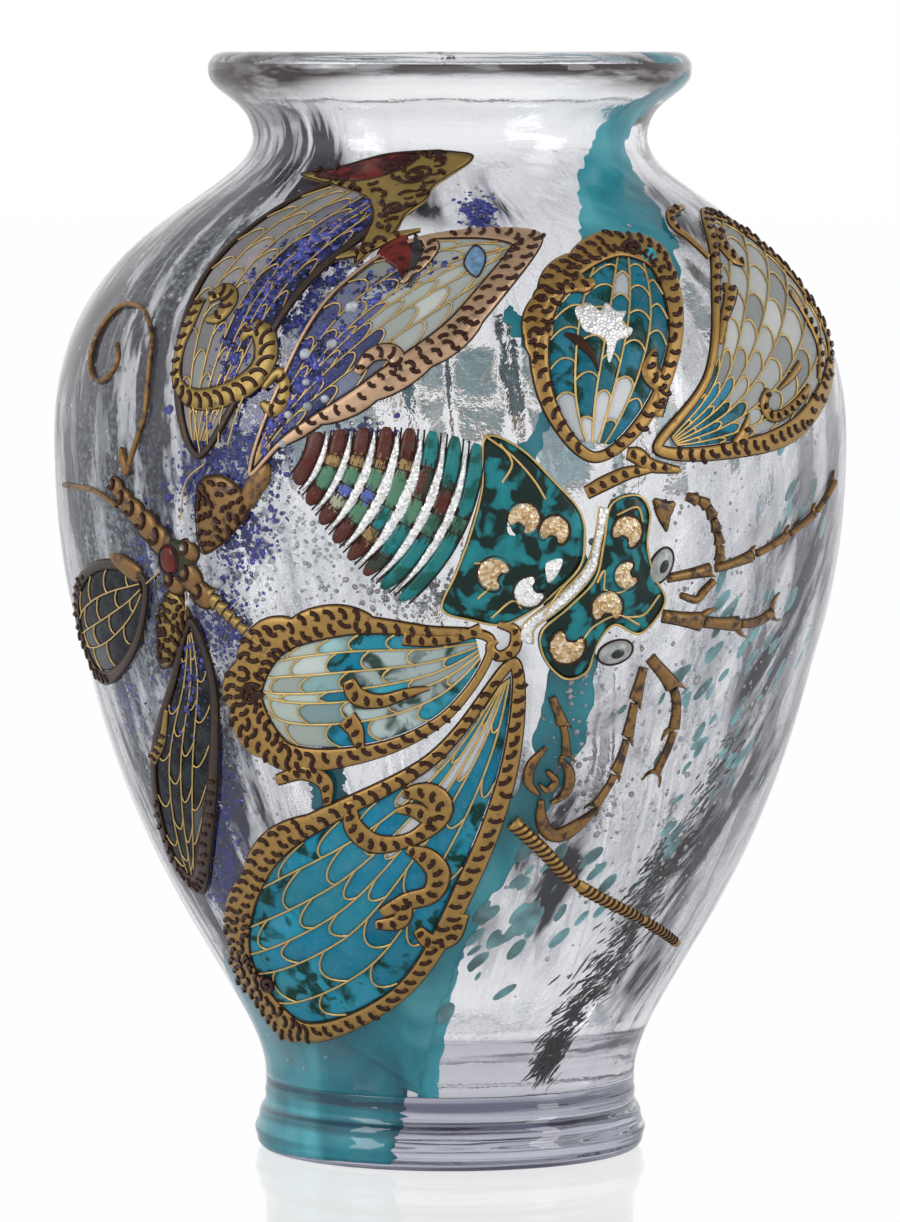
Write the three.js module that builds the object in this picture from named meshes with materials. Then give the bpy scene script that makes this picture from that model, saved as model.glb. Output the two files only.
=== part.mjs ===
// A blown glass vase with enamelled and gilded insects in relief, in millimetres, +Z up.
// The origin is on the floor under the middle of the foot, and the vase's front faces -Y.
import * as THREE from 'three';

// ---- Driving dimensions ----

const foot = {
  height: 15.7,
  beadRadius: 42.9,
  beadHeight: 4.4,
  beadBulge: 2.6,
  recessRadius: 31,
  recessDepth: 2.6,
  rimRounding: 2.4,
};

// The body's outside is four smooth curves between five rings. Each rise is measured from the ring below.
const body = {
  waistRadius: 40.5,
  flankRadius: 78.8,
  flankRise: 88.6,
  flankLean: 0.25,
  bellyRadius: 86.6,
  bellyRise: 51.4,
  neckRadius: 43.1,
  neckRise: 65.5,
  lipRadius: 52.8,
  lipRise: 14.8,
  lipThickness: 7,
  lipCrown: 3.7,
  wall: 6,
  floor: 8,
};

// How far each ring's curve keeps going straight up or down before it turns.
const handles = {
  waistUp: 16.8,
  flankDown: 53.3,
  flankUp: 8,
  bellyDown: 30.5,
  bellyUp: 47.6,
  neckDown: 13.7,
  neckUp: 8.8,
  lipDown: 6,
};

const jointGap = 0.3;
const seatGap = 0.45;
const glassSides = 56;

const relief = {
  enamel: 0.7,
  gilding: 1.1,
  body: 1.3,
  crown: 0.9,
  jewel: 1.4,
  limb: 1.0,
  twig: 1.8,
  pieceGap: 0.5,
};

// The decoration is laid out in steps: around the belly line, and from there down to the waist and up to
// the neck.
const layout = { around: 544, below: 148.5, above: 82.7, mothSpacing: 76.2 };

// ---- The glass profile ----

const waistHeight = foot.height + jointGap;
const flankHeight = waistHeight + body.flankRise;
const bellyHeight = flankHeight + body.bellyRise;
const neckHeight = bellyHeight + body.neckRise;
const lipHeight = neckHeight + body.lipRise;

function curve(from, fromHandle, toHandle, to, pieces) {
  return new THREE.CubicBezierCurve(from, fromHandle, toHandle, to).getPoints(pieces);
}

function point(radius, height) {
  return new THREE.Vector2(radius, height);
}

function outside(pieces) {
  const waist = point(body.waistRadius, waistHeight);
  const flank = point(body.flankRadius, flankHeight);
  const belly = point(body.bellyRadius, bellyHeight);
  const neck = point(body.neckRadius, neckHeight);
  const lip = point(body.lipRadius, lipHeight);
  const rise = (from, length, lean = 0) => point(from.x + length * lean, from.y + length);
  return {
    lower: curve(waist, rise(waist, handles.waistUp),
      rise(flank, -handles.flankDown, body.flankLean), flank, pieces.lower),
    flank: curve(flank, rise(flank, handles.flankUp, body.flankLean),
      rise(belly, -handles.bellyDown), belly, pieces.flank),
    shoulder: curve(belly, rise(belly, handles.bellyUp),
      rise(neck, -handles.neckDown), neck, pieces.shoulder),
    mouth: curve(neck, rise(neck, handles.neckUp), rise(lip, -handles.lipDown), lip, pieces.mouth),
  };
}

function joined(...curves) {
  return curves.flatMap((points, index) => (index ? points.slice(1) : points));
}

function offsetInwards(points, distance) {
  return points.map((here, index) => {
    const before = points[Math.max(index - 1, 0)];
    const after = points[Math.min(index + 1, points.length - 1)];
    const along = after.clone().sub(before).normalize();
    return point(here.x - along.y * distance, here.y + along.x * distance);
  });
}

function arc(centre, acrossRadius, upRadius, fromDegrees, toDegrees, pieces) {
  return Array.from({ length: pieces + 1 }, (_, index) => {
    const angle = THREE.MathUtils.degToRad(fromDegrees + (toDegrees - fromDegrees) * index / pieces);
    return point(centre.x + acrossRadius * Math.cos(angle), centre.y + upRadius * Math.sin(angle));
  });
}

function bodyProfile() {
  const outer = outside({ lower: 10, flank: 6, shoulder: 10, mouth: 5 });
  const inner = outside({ lower: 6, flank: 3, shoulder: 8, mouth: 3 });
  const halfLip = body.lipThickness / 2;
  const lip = arc(point(body.lipRadius - halfLip, lipHeight), halfLip, body.lipCrown, 0, 180, 8);
  const innerNeck = point(body.neckRadius - body.wall, neckHeight);
  const innerLip = point(body.lipRadius - body.lipThickness, lipHeight);
  const throat = curve(innerLip, point(innerLip.x, innerLip.y - handles.lipDown),
    point(innerNeck.x, innerNeck.y + handles.neckUp), innerNeck, 4);
  const floorHeight = waistHeight + body.floor;
  const hollow = offsetInwards(joined(inner.lower, inner.flank, inner.shoulder), body.wall)
    .filter((here) => here.y > floorHeight + body.wall && here.y < neckHeight - body.wall)
    .reverse();
  const lowest = hollow[hollow.length - 1];
  const bowl = new THREE.QuadraticBezierCurve(lowest, point(lowest.x, floorHeight), point(0, floorHeight));
  return [
    point(0, waistHeight),
    ...joined(outer.lower, outer.flank, outer.shoulder, outer.mouth),
    ...lip.slice(1),
    ...throat.slice(1),
    ...hollow,
    ...bowl.getPoints(5).slice(1),
  ];
}

function footProfile() {
  const bead = point(foot.beadRadius - foot.beadBulge, foot.beadHeight);
  const top = point(body.waistRadius, foot.height);
  const neckIn = curve(point(foot.beadRadius, foot.beadHeight), point(foot.beadRadius, foot.height / 2),
    point(top.x, foot.beadHeight + foot.height / 4), top, 5);
  const contactEdge = foot.recessRadius + foot.rimRounding;
  return [
    point(0, foot.recessDepth),
    point(foot.recessRadius - foot.rimRounding, foot.recessDepth),
    point(foot.recessRadius, foot.recessDepth / 2),
    point(contactEdge, 0),
    point(bead.x, 0),
    ...arc(bead, foot.beadBulge, foot.beadHeight, -60, 0, 3),
    ...neckIn.slice(1),
    point(0, foot.height),
  ];
}

// ---- The surface that the decoration lies on ----

function measuredWall() {
  const parts = outside({ lower: 120, flank: 80, shoulder: 120, mouth: 10 });
  const points = joined(parts.lower, parts.flank, parts.shoulder);
  const lengths = [0];
  points.slice(1).forEach((here, index) => lengths.push(lengths[index] + here.distanceTo(points[index])));
  const bellyLength = lengths[parts.lower.length + parts.flank.length - 2];
  return { points, lengths, bellyLength, neckLength: lengths[lengths.length - 1] };
}

const wall = measuredWall();
const stepAround = 2 * Math.PI * body.bellyRadius / layout.around;
const stepDown = wall.bellyLength / layout.below;
const stepUp = (wall.neckLength - wall.bellyLength) / layout.above;

function wallAt(rise) {
  const length = wall.bellyLength + rise * (rise < 0 ? stepDown : stepUp);
  const last = wall.points.length - 2;
  const index = Math.min(Math.max(wall.lengths.findIndex((value) => value > length) - 1, 0), last);
  const share = (length - wall.lengths[index]) / (wall.lengths[index + 1] - wall.lengths[index]);
  const along = wall.points[index + 1].clone().sub(wall.points[index]);
  const here = wall.points[index].clone().addScaledVector(along, share);
  along.normalize();
  return { here, outwards: point(along.y, -along.x) };
}

// A place has the angle of its upright middle line, in degrees from the front towards +X.
function onWall(turn, across, rise, lift) {
  const { here, outwards } = wallAt(rise);
  const angle = THREE.MathUtils.degToRad(turn) + across * stepAround / here.x;
  const radius = here.x + outwards.x * lift;
  return new THREE.Vector3(radius * Math.sin(angle), -radius * Math.cos(angle), here.y + outwards.y * lift);
}

// ---- Relief solids ----

// A relief is a grid of points that run forwards row by row and to the right along each row.
function reliefGeometry(turn, rows, { looped = false, seat = seatGap } = {}) {
  const columns = rows[0].length;
  const under = rows.flat().map(({ at }) => onWall(turn, at.x, at.y, seat));
  const over = rows.flat().map(({ at, height }) => onWall(turn, at.x, at.y, seat + height));
  const top = under.length;
  const vertex = (row, column) => (row % rows.length) * columns + column;
  const faces = [];
  const quad = (a, b, c, d) => faces.push(a, b, c, a, c, d);
  const strips = looped ? rows.length : rows.length - 1;
  for (let row = 0; row < strips; row += 1) {
    for (let column = 0; column < columns - 1; column += 1) {
      const corners = [vertex(row, column), vertex(row, column + 1),
        vertex(row + 1, column + 1), vertex(row + 1, column)];
      quad(...corners.map((corner) => corner + top));
      quad(...corners.reverse());
    }
    const left = [vertex(row, 0), vertex(row + 1, 0)];
    const right = [vertex(row + 1, columns - 1), vertex(row, columns - 1)];
    [left, right].forEach(([from, to]) => quad(to, from, from + top, to + top));
  }
  if (!looped) {
    for (let column = 0; column < columns - 1; column += 1) {
      const first = [vertex(0, column + 1), vertex(0, column)];
      const last = [vertex(rows.length - 1, column), vertex(rows.length - 1, column + 1)];
      [first, last].forEach(([from, to]) => quad(to, from, from + top, to + top));
    }
  }
  const geometry = new THREE.BufferGeometry();
  const positions = [...under, ...over].flatMap((corner) => corner.toArray());
  geometry.setAttribute('position', new THREE.Float32BufferAttribute(positions, 3));
  geometry.setIndex(faces);
  geometry.computeVertexNormals();
  return geometry;
}

// An outline starts at the root, runs up the left side to the tip at one half and down the right side.
// Each of its points has a place across and up the wall, and the width of the border there.
function smoothOutline(points) {
  const corners = points.map((place) => new THREE.Vector3(...place));
  const loop = new THREE.CatmullRomCurve3(corners, true, 'catmullrom');
  const at = (share) => loop.getPoint(share - Math.floor(share));
  const outline = (share) => point(at(share).x, at(share).y);
  return { outline, borderWidth: (share) => at(share).z };
}

function ovalOutline(centre, heading, length, width) {
  const turn = THREE.MathUtils.degToRad(heading);
  return (share) => {
    const angle = 2 * Math.PI * share;
    const local = point(-Math.cos(angle) * length / 2, Math.sin(angle) * width / 2);
    return local.rotateAround(point(0, 0), turn).add(point(...centre));
  };
}

function insetPoint(outline, share, inset) {
  const along = outline(share + 0.01).sub(outline(share - 0.01)).normalize();
  return outline(share).add(point(along.y, -along.x).multiplyScalar(inset));
}

function ringRows(outline, width, count, height) {
  return Array.from({ length: count }, (_, index) => [
    { at: outline(index / count), height },
    { at: insetPoint(outline, index / count, width(index / count)), height },
  ]);
}

// A patch fills an outline from near the root to near the tip, leaving out a small share at both ends.
const bluntEnds = { wing: 0.045, oval: 0.07 };
function patchRows(outline, inset, rowCount, columnCount, height, crown = 0, ends = bluntEnds.wing) {
  return Array.from({ length: rowCount }, (_, row) => {
    const share = ends + (0.5 - 2 * ends) * row / (rowCount - 1);
    const left = insetPoint(outline, share, inset(share));
    const right = insetPoint(outline, 1 - share, inset(1 - share));
    const along = Math.sin(2 * Math.PI * share);
    return Array.from({ length: columnCount }, (__, column) => {
      const across = column / (columnCount - 1);
      const rounding = crown * along * Math.sin(Math.PI * across);
      return { at: left.clone().lerp(right, across), height: height + rounding };
    });
  });
}

function stripRows(points, startWidth, endWidth, count, height) {
  const stops = points.map(([x, y]) => new THREE.Vector3(x, y, 0));
  const path = new THREE.CatmullRomCurve3(stops, false, 'catmullrom');
  return Array.from({ length: count }, (_, row) => {
    const share = row / (count - 1);
    const here = path.getPoint(share);
    const along = path.getTangent(share);
    const side = point(-along.y, along.x).normalize()
      .multiplyScalar(THREE.MathUtils.lerp(startWidth, endWidth, share) / 2);
    const middle = point(here.x, here.y);
    return [
      { at: middle.clone().add(side), height: height / 2 },
      { at: middle, height },
      { at: middle.clone().sub(side), height: height / 2 },
    ];
  });
}

// ---- The group ----

const vase = new THREE.Group();
const material = (colour, roughness, metalness) =>
  new THREE.MeshStandardMaterial({ color: colour, roughness, metalness });

const finish = {
  bodyGlass: material('#c9c8d2', 0.05, 0),
  footGlass: material('#8d8ba6', 0.05, 0),
  gold: material('#b07f2c', 0.35, 0.8),
  teal: material('#1f9bab', 0.2, 0),
  greyEnamel: material('#b9bcb4', 0.25, 0),
  darkEnamel: material('#0f4a4a', 0.2, 0),
  redBrown: material('#6b2a1e', 0.25, 0),
  cream: material('#cfc9b2', 0.25, 0),
  blueEnamel: material('#3b46a0', 0.25, 0),
  green: material('#2c6b4c', 0.25, 0),
  brown: material('#4c3018', 0.4, 0),
  jewel: material('#cdbb8e', 0.15, 0.5),
  eye: material('#9ea3a1', 0.1, 0),
};

function add(parent, name, geometry, look) {
  const mesh = new THREE.Mesh(geometry, look);
  mesh.name = name;
  parent.add(mesh);
  return mesh;
}

const turned = (profile) => new THREE.LatheGeometry(profile, glassSides).rotateX(Math.PI / 2);
add(vase, 'foot', turned(footProfile()), finish.footGlass);
add(vase, 'glass_body', turned(bodyProfile()), finish.bodyGlass);

// Each wing is an enamel field inside a gilded border.
function addWing(parent, turn, name, points, fieldLook,
  { fieldRows = 9, fieldColumns = 5, ringCount = 26, blunt = bluntEnds.wing } = {}) {
  const { outline, borderWidth } = smoothOutline(points);
  add(parent, `${name}_border`, reliefGeometry(turn,
    ringRows(outline, borderWidth, ringCount, relief.gilding), { looped: true }), finish.gold);
  const inset = (share) => borderWidth(share) + relief.pieceGap;
  add(parent, `${name}_field`, reliefGeometry(turn,
    patchRows(outline, inset, fieldRows, fieldColumns, relief.enamel, 0, blunt)), fieldLook);
}

function addOval(parent, turn, name, oval, look, crown = relief.crown) {
  const outline = ovalOutline(oval.centre, oval.heading, oval.length, oval.width);
  const rows = patchRows(outline, () => 0, oval.rows ?? 5, oval.columns ?? 5,
    relief.body, crown, bluntEnds.oval);
  add(parent, name, reliefGeometry(turn, rows), look);
}

function addStrip(parent, turn, name, strip, look, height = relief.limb) {
  const rows = stripRows(strip.points, strip.from, strip.to, strip.rows, height);
  add(parent, name, reliefGeometry(turn, rows), look);
}

// ---- The large moth, with its head down to the right ----

const largeTurn = 12.7;
const largeMoth = new THREE.Group();
vase.add(largeMoth);

addOval(largeMoth, largeTurn, 'large_moth_thorax',
  { centre: [-3, -21.5], heading: 65, length: 35.5, width: 25, rows: 7, columns: 6 }, finish.darkEnamel, 0);
addOval(largeMoth, largeTurn, 'large_moth_head',
  { centre: [15.7, -29.5], heading: 65, length: 34, width: 12, rows: 7, columns: 4 }, finish.darkEnamel, 0);

// The striped abdomen: eight bands that widen from the tail to the thorax.
const abdomen = {
  tail: [-50.5, 0.5],
  heading: -25,
  length: 38.5,
  tailWidth: 3,
  thoraxWidth: 36,
  bow: 3.5,
  bands: 8,
};
function abdomenBand(index) {
  const heading = THREE.MathUtils.degToRad(abdomen.heading);
  const pitch = abdomen.length / abdomen.bands;
  const start = index * pitch;
  const ends = [start, start + pitch - relief.pieceGap];
  return ends.map((along) => {
    const swell = Math.sin(Math.PI / 2 * (along + pitch) / (abdomen.length + pitch));
    const width = abdomen.tailWidth + (abdomen.thoraxWidth - abdomen.tailWidth) * swell;
    return [0, 0.25, 0.5, 0.75, 1].map((across) => {
      const bowed = along - abdomen.bow * 4 * (across - 0.5) ** 2 * Math.min(width / abdomen.thoraxWidth, 1);
      const at = point(bowed, (0.5 - across) * width).rotateAround(point(0, 0), heading)
        .add(point(...abdomen.tail));
      return { at, height: relief.body + relief.crown * Math.sin(Math.PI * across) };
    });
  });
}
const bandLooks = [finish.redBrown, finish.cream, finish.green, finish.redBrown,
  finish.green, finish.cream, finish.green, finish.darkEnamel];
bandLooks.forEach((look, index) => {
  add(largeMoth, `large_moth_abdomen_band_${index + 1}`, reliefGeometry(largeTurn, abdomenBand(index)), look);
});

const eyes = [
  { centre: [27, -23], heading: 60 },
  { centre: [18, -46.5], heading: 60 },
];
eyes.forEach((eye, index) => addOval(largeMoth, largeTurn, `large_moth_eye_${index + 1}`,
  { ...eye, length: 8, width: 4.6, rows: 4, columns: 4 }, finish.eye));

// Crescent jewels stand on the enamel of the thorax and the head.
const crescent = { radius: 2, sweep: 220, width: 1.3 };
const crescents = [
  { centre: [-4, -13], heading: 60 },
  { centre: [2.5, -16], heading: 80 },
  { centre: [-9.5, -24], heading: 200 },
  { centre: [-2.5, -27], heading: 250 },
  { centre: [10.4, -39.5], heading: 170 },
  { centre: [15, -30.5], heading: 100 },
  { centre: [19.6, -20], heading: 30 },
];
crescents.forEach(({ centre, heading }, index) => {
  const bend = (share) => {
    const angle = THREE.MathUtils.degToRad(heading + share * crescent.sweep);
    return [centre[0] + crescent.radius * Math.cos(angle), centre[1] + crescent.radius * Math.sin(angle)];
  };
  const points = [-0.5, -0.25, 0, 0.25, 0.5].map(bend);
  const rows = stripRows(points, crescent.width, crescent.width, 7, relief.jewel);
  const seat = 2 * seatGap + relief.body;
  add(largeMoth, `large_moth_crescent_${index + 1}`, reliefGeometry(largeTurn, rows, { seat }), finish.jewel);
});

addWing(largeMoth, largeTurn, 'large_moth_wing_lower', [[-5, -42, 2], [-2, -62, 3.4], [-8, -92, 4.4],
  [-21, -124, 3.8], [-46, -137, 5.5], [-68, -117, 7.5], [-57, -86, 5.5], [-22, -64, 2.6]], finish.teal,
{ fieldRows: 13, fieldColumns: 7, ringCount: 36 });
addWing(largeMoth, largeTurn, 'large_moth_wing_left', [[-9, -38, 1.6], [-17, -55, 2], [-34, -65, 3.6],
  [-55, -67, 6.5], [-67, -52, 8.5], [-59, -37, 7], [-42, -33, 4.4], [-24, -35, 2]], finish.greyEnamel,
{ ringCount: 32 });
addWing(largeMoth, largeTurn, 'large_moth_wing_upper', [[11, -1, 2], [0, 11, 3], [-1, 29, 4.4], [8, 44, 5.4],
  [22, 52, 7], [34, 45, 6.4], [34, 26, 3.6], [25, 8, 3]], finish.teal, { ringCount: 30 });
addWing(largeMoth, largeTurn, 'large_moth_wing_right', [[25, 1, 2], [39, 17, 1.6], [46, 40, 2.2], [56, 60, 4],
  [79, 46, 3.4], [96, 22, 3.8], [74, 4, 5], [48, -1, 3.4]], finish.greyEnamel,
{ fieldRows: 12, fieldColumns: 8, ringCount: 34 });

const legs = [
  { points: [[32, -24], [43, -23], [67, -20], [88, -14]], rows: 11 },
  { points: [[28, -34], [39, -36], [51, -37], [61, -35]], rows: 6 },
  { points: [[26, -43], [33, -51], [33, -60], [30, -69]], rows: 7 },
  { points: [[21, -52], [22, -60], [19, -70], [16, -75]], rows: 6 },
  { points: [[6, -46], [6, -60], [3, -71], [7, -82]], rows: 7 },
];
legs.forEach((leg, index) => addStrip(largeMoth, largeTurn, `large_moth_leg_${index + 1}`,
  { ...leg, from: 3.2, to: 1.4 }, finish.brown));
addStrip(largeMoth, largeTurn, 'large_moth_antenna',
  { points: [[27, -11], [34, -10], [40, -14], [41, -20]], from: 1.8, to: 1.2, rows: 7 }, finish.brown);

// ---- The blue moth, to the left ----

// The moths are spaced along the flank ring, where their wings come closest.
const blueTurn = largeTurn - THREE.MathUtils.radToDeg(layout.mothSpacing * stepAround / body.flankRadius);
const blueMoth = new THREE.Group();
vase.add(blueMoth);

addOval(blueMoth, blueTurn, 'blue_moth_thorax',
  { centre: [1, -22], heading: 130, length: 15, width: 11 }, finish.redBrown);
addOval(blueMoth, blueTurn, 'blue_moth_head',
  { centre: [-8.5, -12], heading: 130, length: 10, width: 8 }, finish.blueEnamel);
addStrip(blueMoth, blueTurn, 'blue_moth_abdomen',
  { points: [[8, -29], [12, -33], [17, -38]], from: 5, to: 2, rows: 4 }, finish.brown, relief.body);
addOval(blueMoth, blueTurn, 'blue_moth_petal_1',
  { centre: [12, -12], heading: 60, length: 12, width: 6, rows: 4, columns: 4 }, finish.gold, 0);
addOval(blueMoth, blueTurn, 'blue_moth_petal_2',
  { centre: [-6, -36], heading: 250, length: 11, width: 5, rows: 4, columns: 4 }, finish.gold, 0);

addWing(blueMoth, blueTurn, 'blue_moth_wing_upper', [[8, -1, 1.4], [0, 15, 2.2], [-2, 42, 1.4],
  [8, 68, 1.6], [31, 80, 6], [34, 62, 7], [26, 38, 2.4], [19, 14, 1.4]], finish.blueEnamel,
{ fieldRows: 13, fieldColumns: 6, ringCount: 36 });
addWing(blueMoth, blueTurn, 'blue_moth_wing_right', [[21, -4, 1], [27, 16, 1.2], [33, 38, 1.6], [44, 52, 2.8],
  [68, 52, 5.6], [66, 28, 6.4], [50, 13, 5], [31, 4, 1.6]], finish.greyEnamel,
{ fieldRows: 10, fieldColumns: 6, ringCount: 34, blunt: 0.09 });
addWing(blueMoth, blueTurn, 'blue_moth_wing_left', [[-9, -28, 1.4], [-15, -41, 1.6], [-28, -50, 2],
  [-42, -52, 3.4], [-50, -42, 4], [-44, -31, 3], [-31, -25, 2], [-18, -24, 1.6]], finish.blueEnamel);
addWing(blueMoth, blueTurn, 'blue_moth_wing_lower', [[2.5, -35, 1.4], [6.5, -46, 1.6], [4, -62, 2],
  [-4, -82, 3], [-17, -100, 4.6], [-28, -92, 3.6], [-22, -70, 2], [-7, -49, 1.6]], finish.blueEnamel);

addStrip(blueMoth, blueTurn, 'blue_moth_antenna_1',
  { points: [[-14, -5], [-8, 7], [-9, 20], [-19, 30], [-31, 30], [-34, 21], [-27, 15], [-19, 19]],
    from: 1.6, to: 1, rows: 20 }, finish.brown);
addStrip(blueMoth, blueTurn, 'blue_moth_antenna_2',
  { points: [[-18, -12], [-30, -9], [-45, -9]], from: 1.6, to: 1, rows: 5 }, finish.brown);

// ---- The twig, right of the lower wing ----

addStrip(vase, largeTurn, 'twig',
  { points: [[3, -84], [14, -95], [30, -104], [47, -113]], from: 3.2, to: 2.4, rows: 9 },
  finish.gold, relief.twig);

// ---- The dragonfly on the back ----

const dragonflyTurn = 180;
const dragonfly = new THREE.Group();
vase.add(dragonfly);

addOval(dragonfly, dragonflyTurn, 'dragonfly_head',
  { centre: [0, 22], heading: 0, length: 11, width: 7 }, finish.darkEnamel);
addOval(dragonfly, dragonflyTurn, 'dragonfly_thorax',
  { centre: [0, 9], heading: 90, length: 17, width: 10 }, finish.green);
addStrip(dragonfly, dragonflyTurn, 'dragonfly_abdomen',
  { points: [[0, -1], [0, -22], [2, -42], [7, -60]], from: 5, to: 2.4, rows: 10 }, finish.teal, relief.body);
const dragonflyWings = [
  { name: 'upper', points: [[7, 11], [20, 21], [44, 28], [60, 30], [66, 25], [58, 18], [40, 12], [20, 8]] },
  { name: 'lower', points: [[7, 5], [20, 4], [40, 2], [54, -3], [58, -10], [48, -16], [32, -13], [16, -4]] },
];
const sides = [{ name: 'right', flip: 1 }, { name: 'left', flip: -1 }];
sides.forEach((side) => dragonflyWings.forEach((wing) => {
  const points = wing.points.map(([x, y]) => [x * side.flip, y, 0]);
  const clockwise = side.flip > 0 ? points : [points[0], ...points.slice(1).reverse()];
  const rows = patchRows(smoothOutline(clockwise).outline, () => 0, 10, 4, relief.enamel);
  add(dragonfly, `dragonfly_wing_${wing.name}_${side.name}`, reliefGeometry(dragonflyTurn, rows),
    finish.greyEnamel);
}));

export default vase;
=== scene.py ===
import math

import bpy
import numpy as np
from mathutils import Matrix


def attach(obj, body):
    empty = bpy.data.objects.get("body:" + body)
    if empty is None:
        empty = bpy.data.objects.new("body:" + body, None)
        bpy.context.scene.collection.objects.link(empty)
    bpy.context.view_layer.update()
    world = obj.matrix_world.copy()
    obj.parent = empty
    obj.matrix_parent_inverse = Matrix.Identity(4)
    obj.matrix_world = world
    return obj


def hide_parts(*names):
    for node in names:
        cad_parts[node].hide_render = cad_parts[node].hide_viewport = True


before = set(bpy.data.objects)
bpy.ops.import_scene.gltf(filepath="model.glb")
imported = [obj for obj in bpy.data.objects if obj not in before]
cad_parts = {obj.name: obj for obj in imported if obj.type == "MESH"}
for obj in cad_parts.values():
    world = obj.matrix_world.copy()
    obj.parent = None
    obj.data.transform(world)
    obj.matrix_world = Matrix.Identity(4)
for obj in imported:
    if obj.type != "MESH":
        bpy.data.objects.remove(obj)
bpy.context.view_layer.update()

# ---- The foot ----
# A thick disc of the same pale glass, pressed on while it was soft. Its rim was tooled to a rounded bead,
# and its underside is ground hollow so that it stands on a ring.

MM = 0.001
TOP_OF_FOOT = 15.94
WAIST = 40.5


def bezier(start, out_of_start, into_end, end, count):
    t = np.linspace(0, 1, count)[:, None]
    a, b, c, d = (np.array(p, float) for p in (start, out_of_start, into_end, end))
    return (1 - t) ** 3 * a + 3 * (1 - t) ** 2 * t * b + 3 * (1 - t) * t**2 * c + t**3 * d


def arc(centre, across, up, first, last, count):
    angles = np.radians(np.linspace(first, last, count))
    return np.column_stack([centre[0] + across * np.cos(angles), centre[1] + up * np.sin(angles)])


def unit(vectors):
    return vectors / np.linalg.norm(vectors, axis=-1, keepdims=True)


def travelled(line):
    """How far along a line each of its points is."""
    return np.r_[0, np.cumsum(np.linalg.norm(np.diff(line, axis=0), axis=1))]


def rotated(points, degrees):
    way = math.radians(degrees)
    return points @ np.array([[math.cos(way), math.sin(way)], [-math.sin(way), math.cos(way)]])


def oval(across, up, count, degrees=0.0, centre=(0, 0)):
    """The outline of a tilted oval, by its half sizes."""
    ring = np.radians(np.arange(count) * 360 / count)
    return rotated(np.column_stack([np.cos(ring) * across, np.sin(ring) * up]), degrees) + centre


def outwards(points, faces):
    """The faces of a closed shape, turned round if they point inwards."""
    triangles = np.array([(f[0], f[k], f[k + 1]) for f in faces for k in range(1, len(f) - 1)])
    a, b, c = (points[triangles[:, k]] for k in range(3))
    volume = np.einsum("ij,ij->i", a, np.cross(b, c)).sum()
    return faces if volume > 0 else [f[::-1] for f in faces]


def piece(name, points, faces, finish, slot, stands_for=(), tints=None, flat_map=None):
    """A finished piece from points in millimetres. tints are colours by vertex, flat_map its UV in metres."""
    mesh = bpy.data.meshes.new(name)
    mesh.from_pydata((np.asarray(points) * MM).tolist(), [], [tuple(int(i) for i in f) for f in faces])
    for label, values in (tints or {}).items():
        layer = mesh.color_attributes.new(label, "FLOAT_COLOR", "POINT")
        layer.data.foreach_set("color", np.asarray(values, np.float32).ravel())
    if flat_map is not None:
        layer = mesh.uv_layers.new(name="UVMap")
        corners = np.empty(len(mesh.loops), np.int32)
        mesh.loops.foreach_get("vertex_index", corners)
        layer.data.foreach_set("uv", (np.asarray(flat_map)[corners] * MM).astype(np.float32).ravel())
    mesh.shade_smooth()
    mesh.materials.append(finish)
    shape = bpy.data.objects.new(name, mesh)
    bpy.context.scene.collection.objects.link(shape)
    settle(shape, stands_for)
    return shape


def settle(shape, stands_for=()):
    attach(shape, "root")
    if stands_for:
        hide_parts(*stands_for)


def turned(profile, sides, wobble=None):
    """A profile of radius and height turned about the axis. It starts and ends on the axis."""
    middle = profile[1:-1]
    angles = np.arange(sides) * 2 * np.pi / sides
    radius = np.repeat(middle[:, :1], sides, axis=1)
    if wobble is not None:
        radius = radius + wobble(middle, angles)
    ring = np.stack([radius * np.sin(angles), -radius * np.cos(angles),
                     np.repeat(middle[:, 1:], sides, axis=1)], -1)
    points = np.vstack([ring.reshape(-1, 3), [0, 0, profile[0, 1]], [0, 0, profile[-1, 1]]])
    rows = len(middle)
    faces = []
    for row in range(rows - 1):
        here = row * sides
        faces += [(here + k, here + (k + 1) % sides, here + sides + (k + 1) % sides, here + sides + k)
                  for k in range(sides)]
    low, high = rows * sides, rows * sides + 1
    last = (rows - 1) * sides
    faces += [(low, (k + 1) % sides, k) for k in range(sides)]
    faces += [(high, last + k, last + (k + 1) % sides) for k in range(sides)]
    return points, outwards(points, faces)


def nodes_of(name):
    """A new material and a maker of nodes in it: add(type, inputs by name, properties by name)."""
    made = bpy.data.materials.new(name)
    made.use_nodes = True
    made.node_tree.nodes.clear()
    return made, adder(made.node_tree)


def adder(tree):
    def add(kind, inputs=None, **properties):
        node = tree.nodes.new(kind)
        for key, value in properties.items():
            setattr(node, key, value)
        for key, value in (inputs or {}).items():
            socket = node.inputs[key]
            if isinstance(value, bpy.types.NodeSocket):
                tree.links.new(value, socket)
            else:
                socket.default_value = value
        return node
    return add


def node_group(name, kind, inputs, outputs):
    """A new node group with sockets by name and kind, a maker of nodes in it, and what is given to it."""
    group = bpy.data.node_groups.new(name, kind)
    for side, sockets in (("INPUT", inputs), ("OUTPUT", outputs)):
        for label, socket in sockets.items():
            group.interface.new_socket(label, in_out=side, socket_type="NodeSocket" + socket)
    add = adder(group)
    return group, add, add("NodeGroupInput").outputs


def noise(add, scale, detail=2.0, vector=None, **settings):
    """Soft noise over the piece itself, or over another set of coordinates."""
    vector = vector or add("ShaderNodeTexCoord").outputs["Object"]
    return add("ShaderNodeTexNoise", {"Vector": vector, "Scale": scale, "Detail": detail,
                                      **settings}).outputs["Fac"]


def sums(add, operation, first, second, clamp=False):
    return add("ShaderNodeMath", {0: first, 1: second}, operation=operation, use_clamp=clamp).outputs[0]


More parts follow.
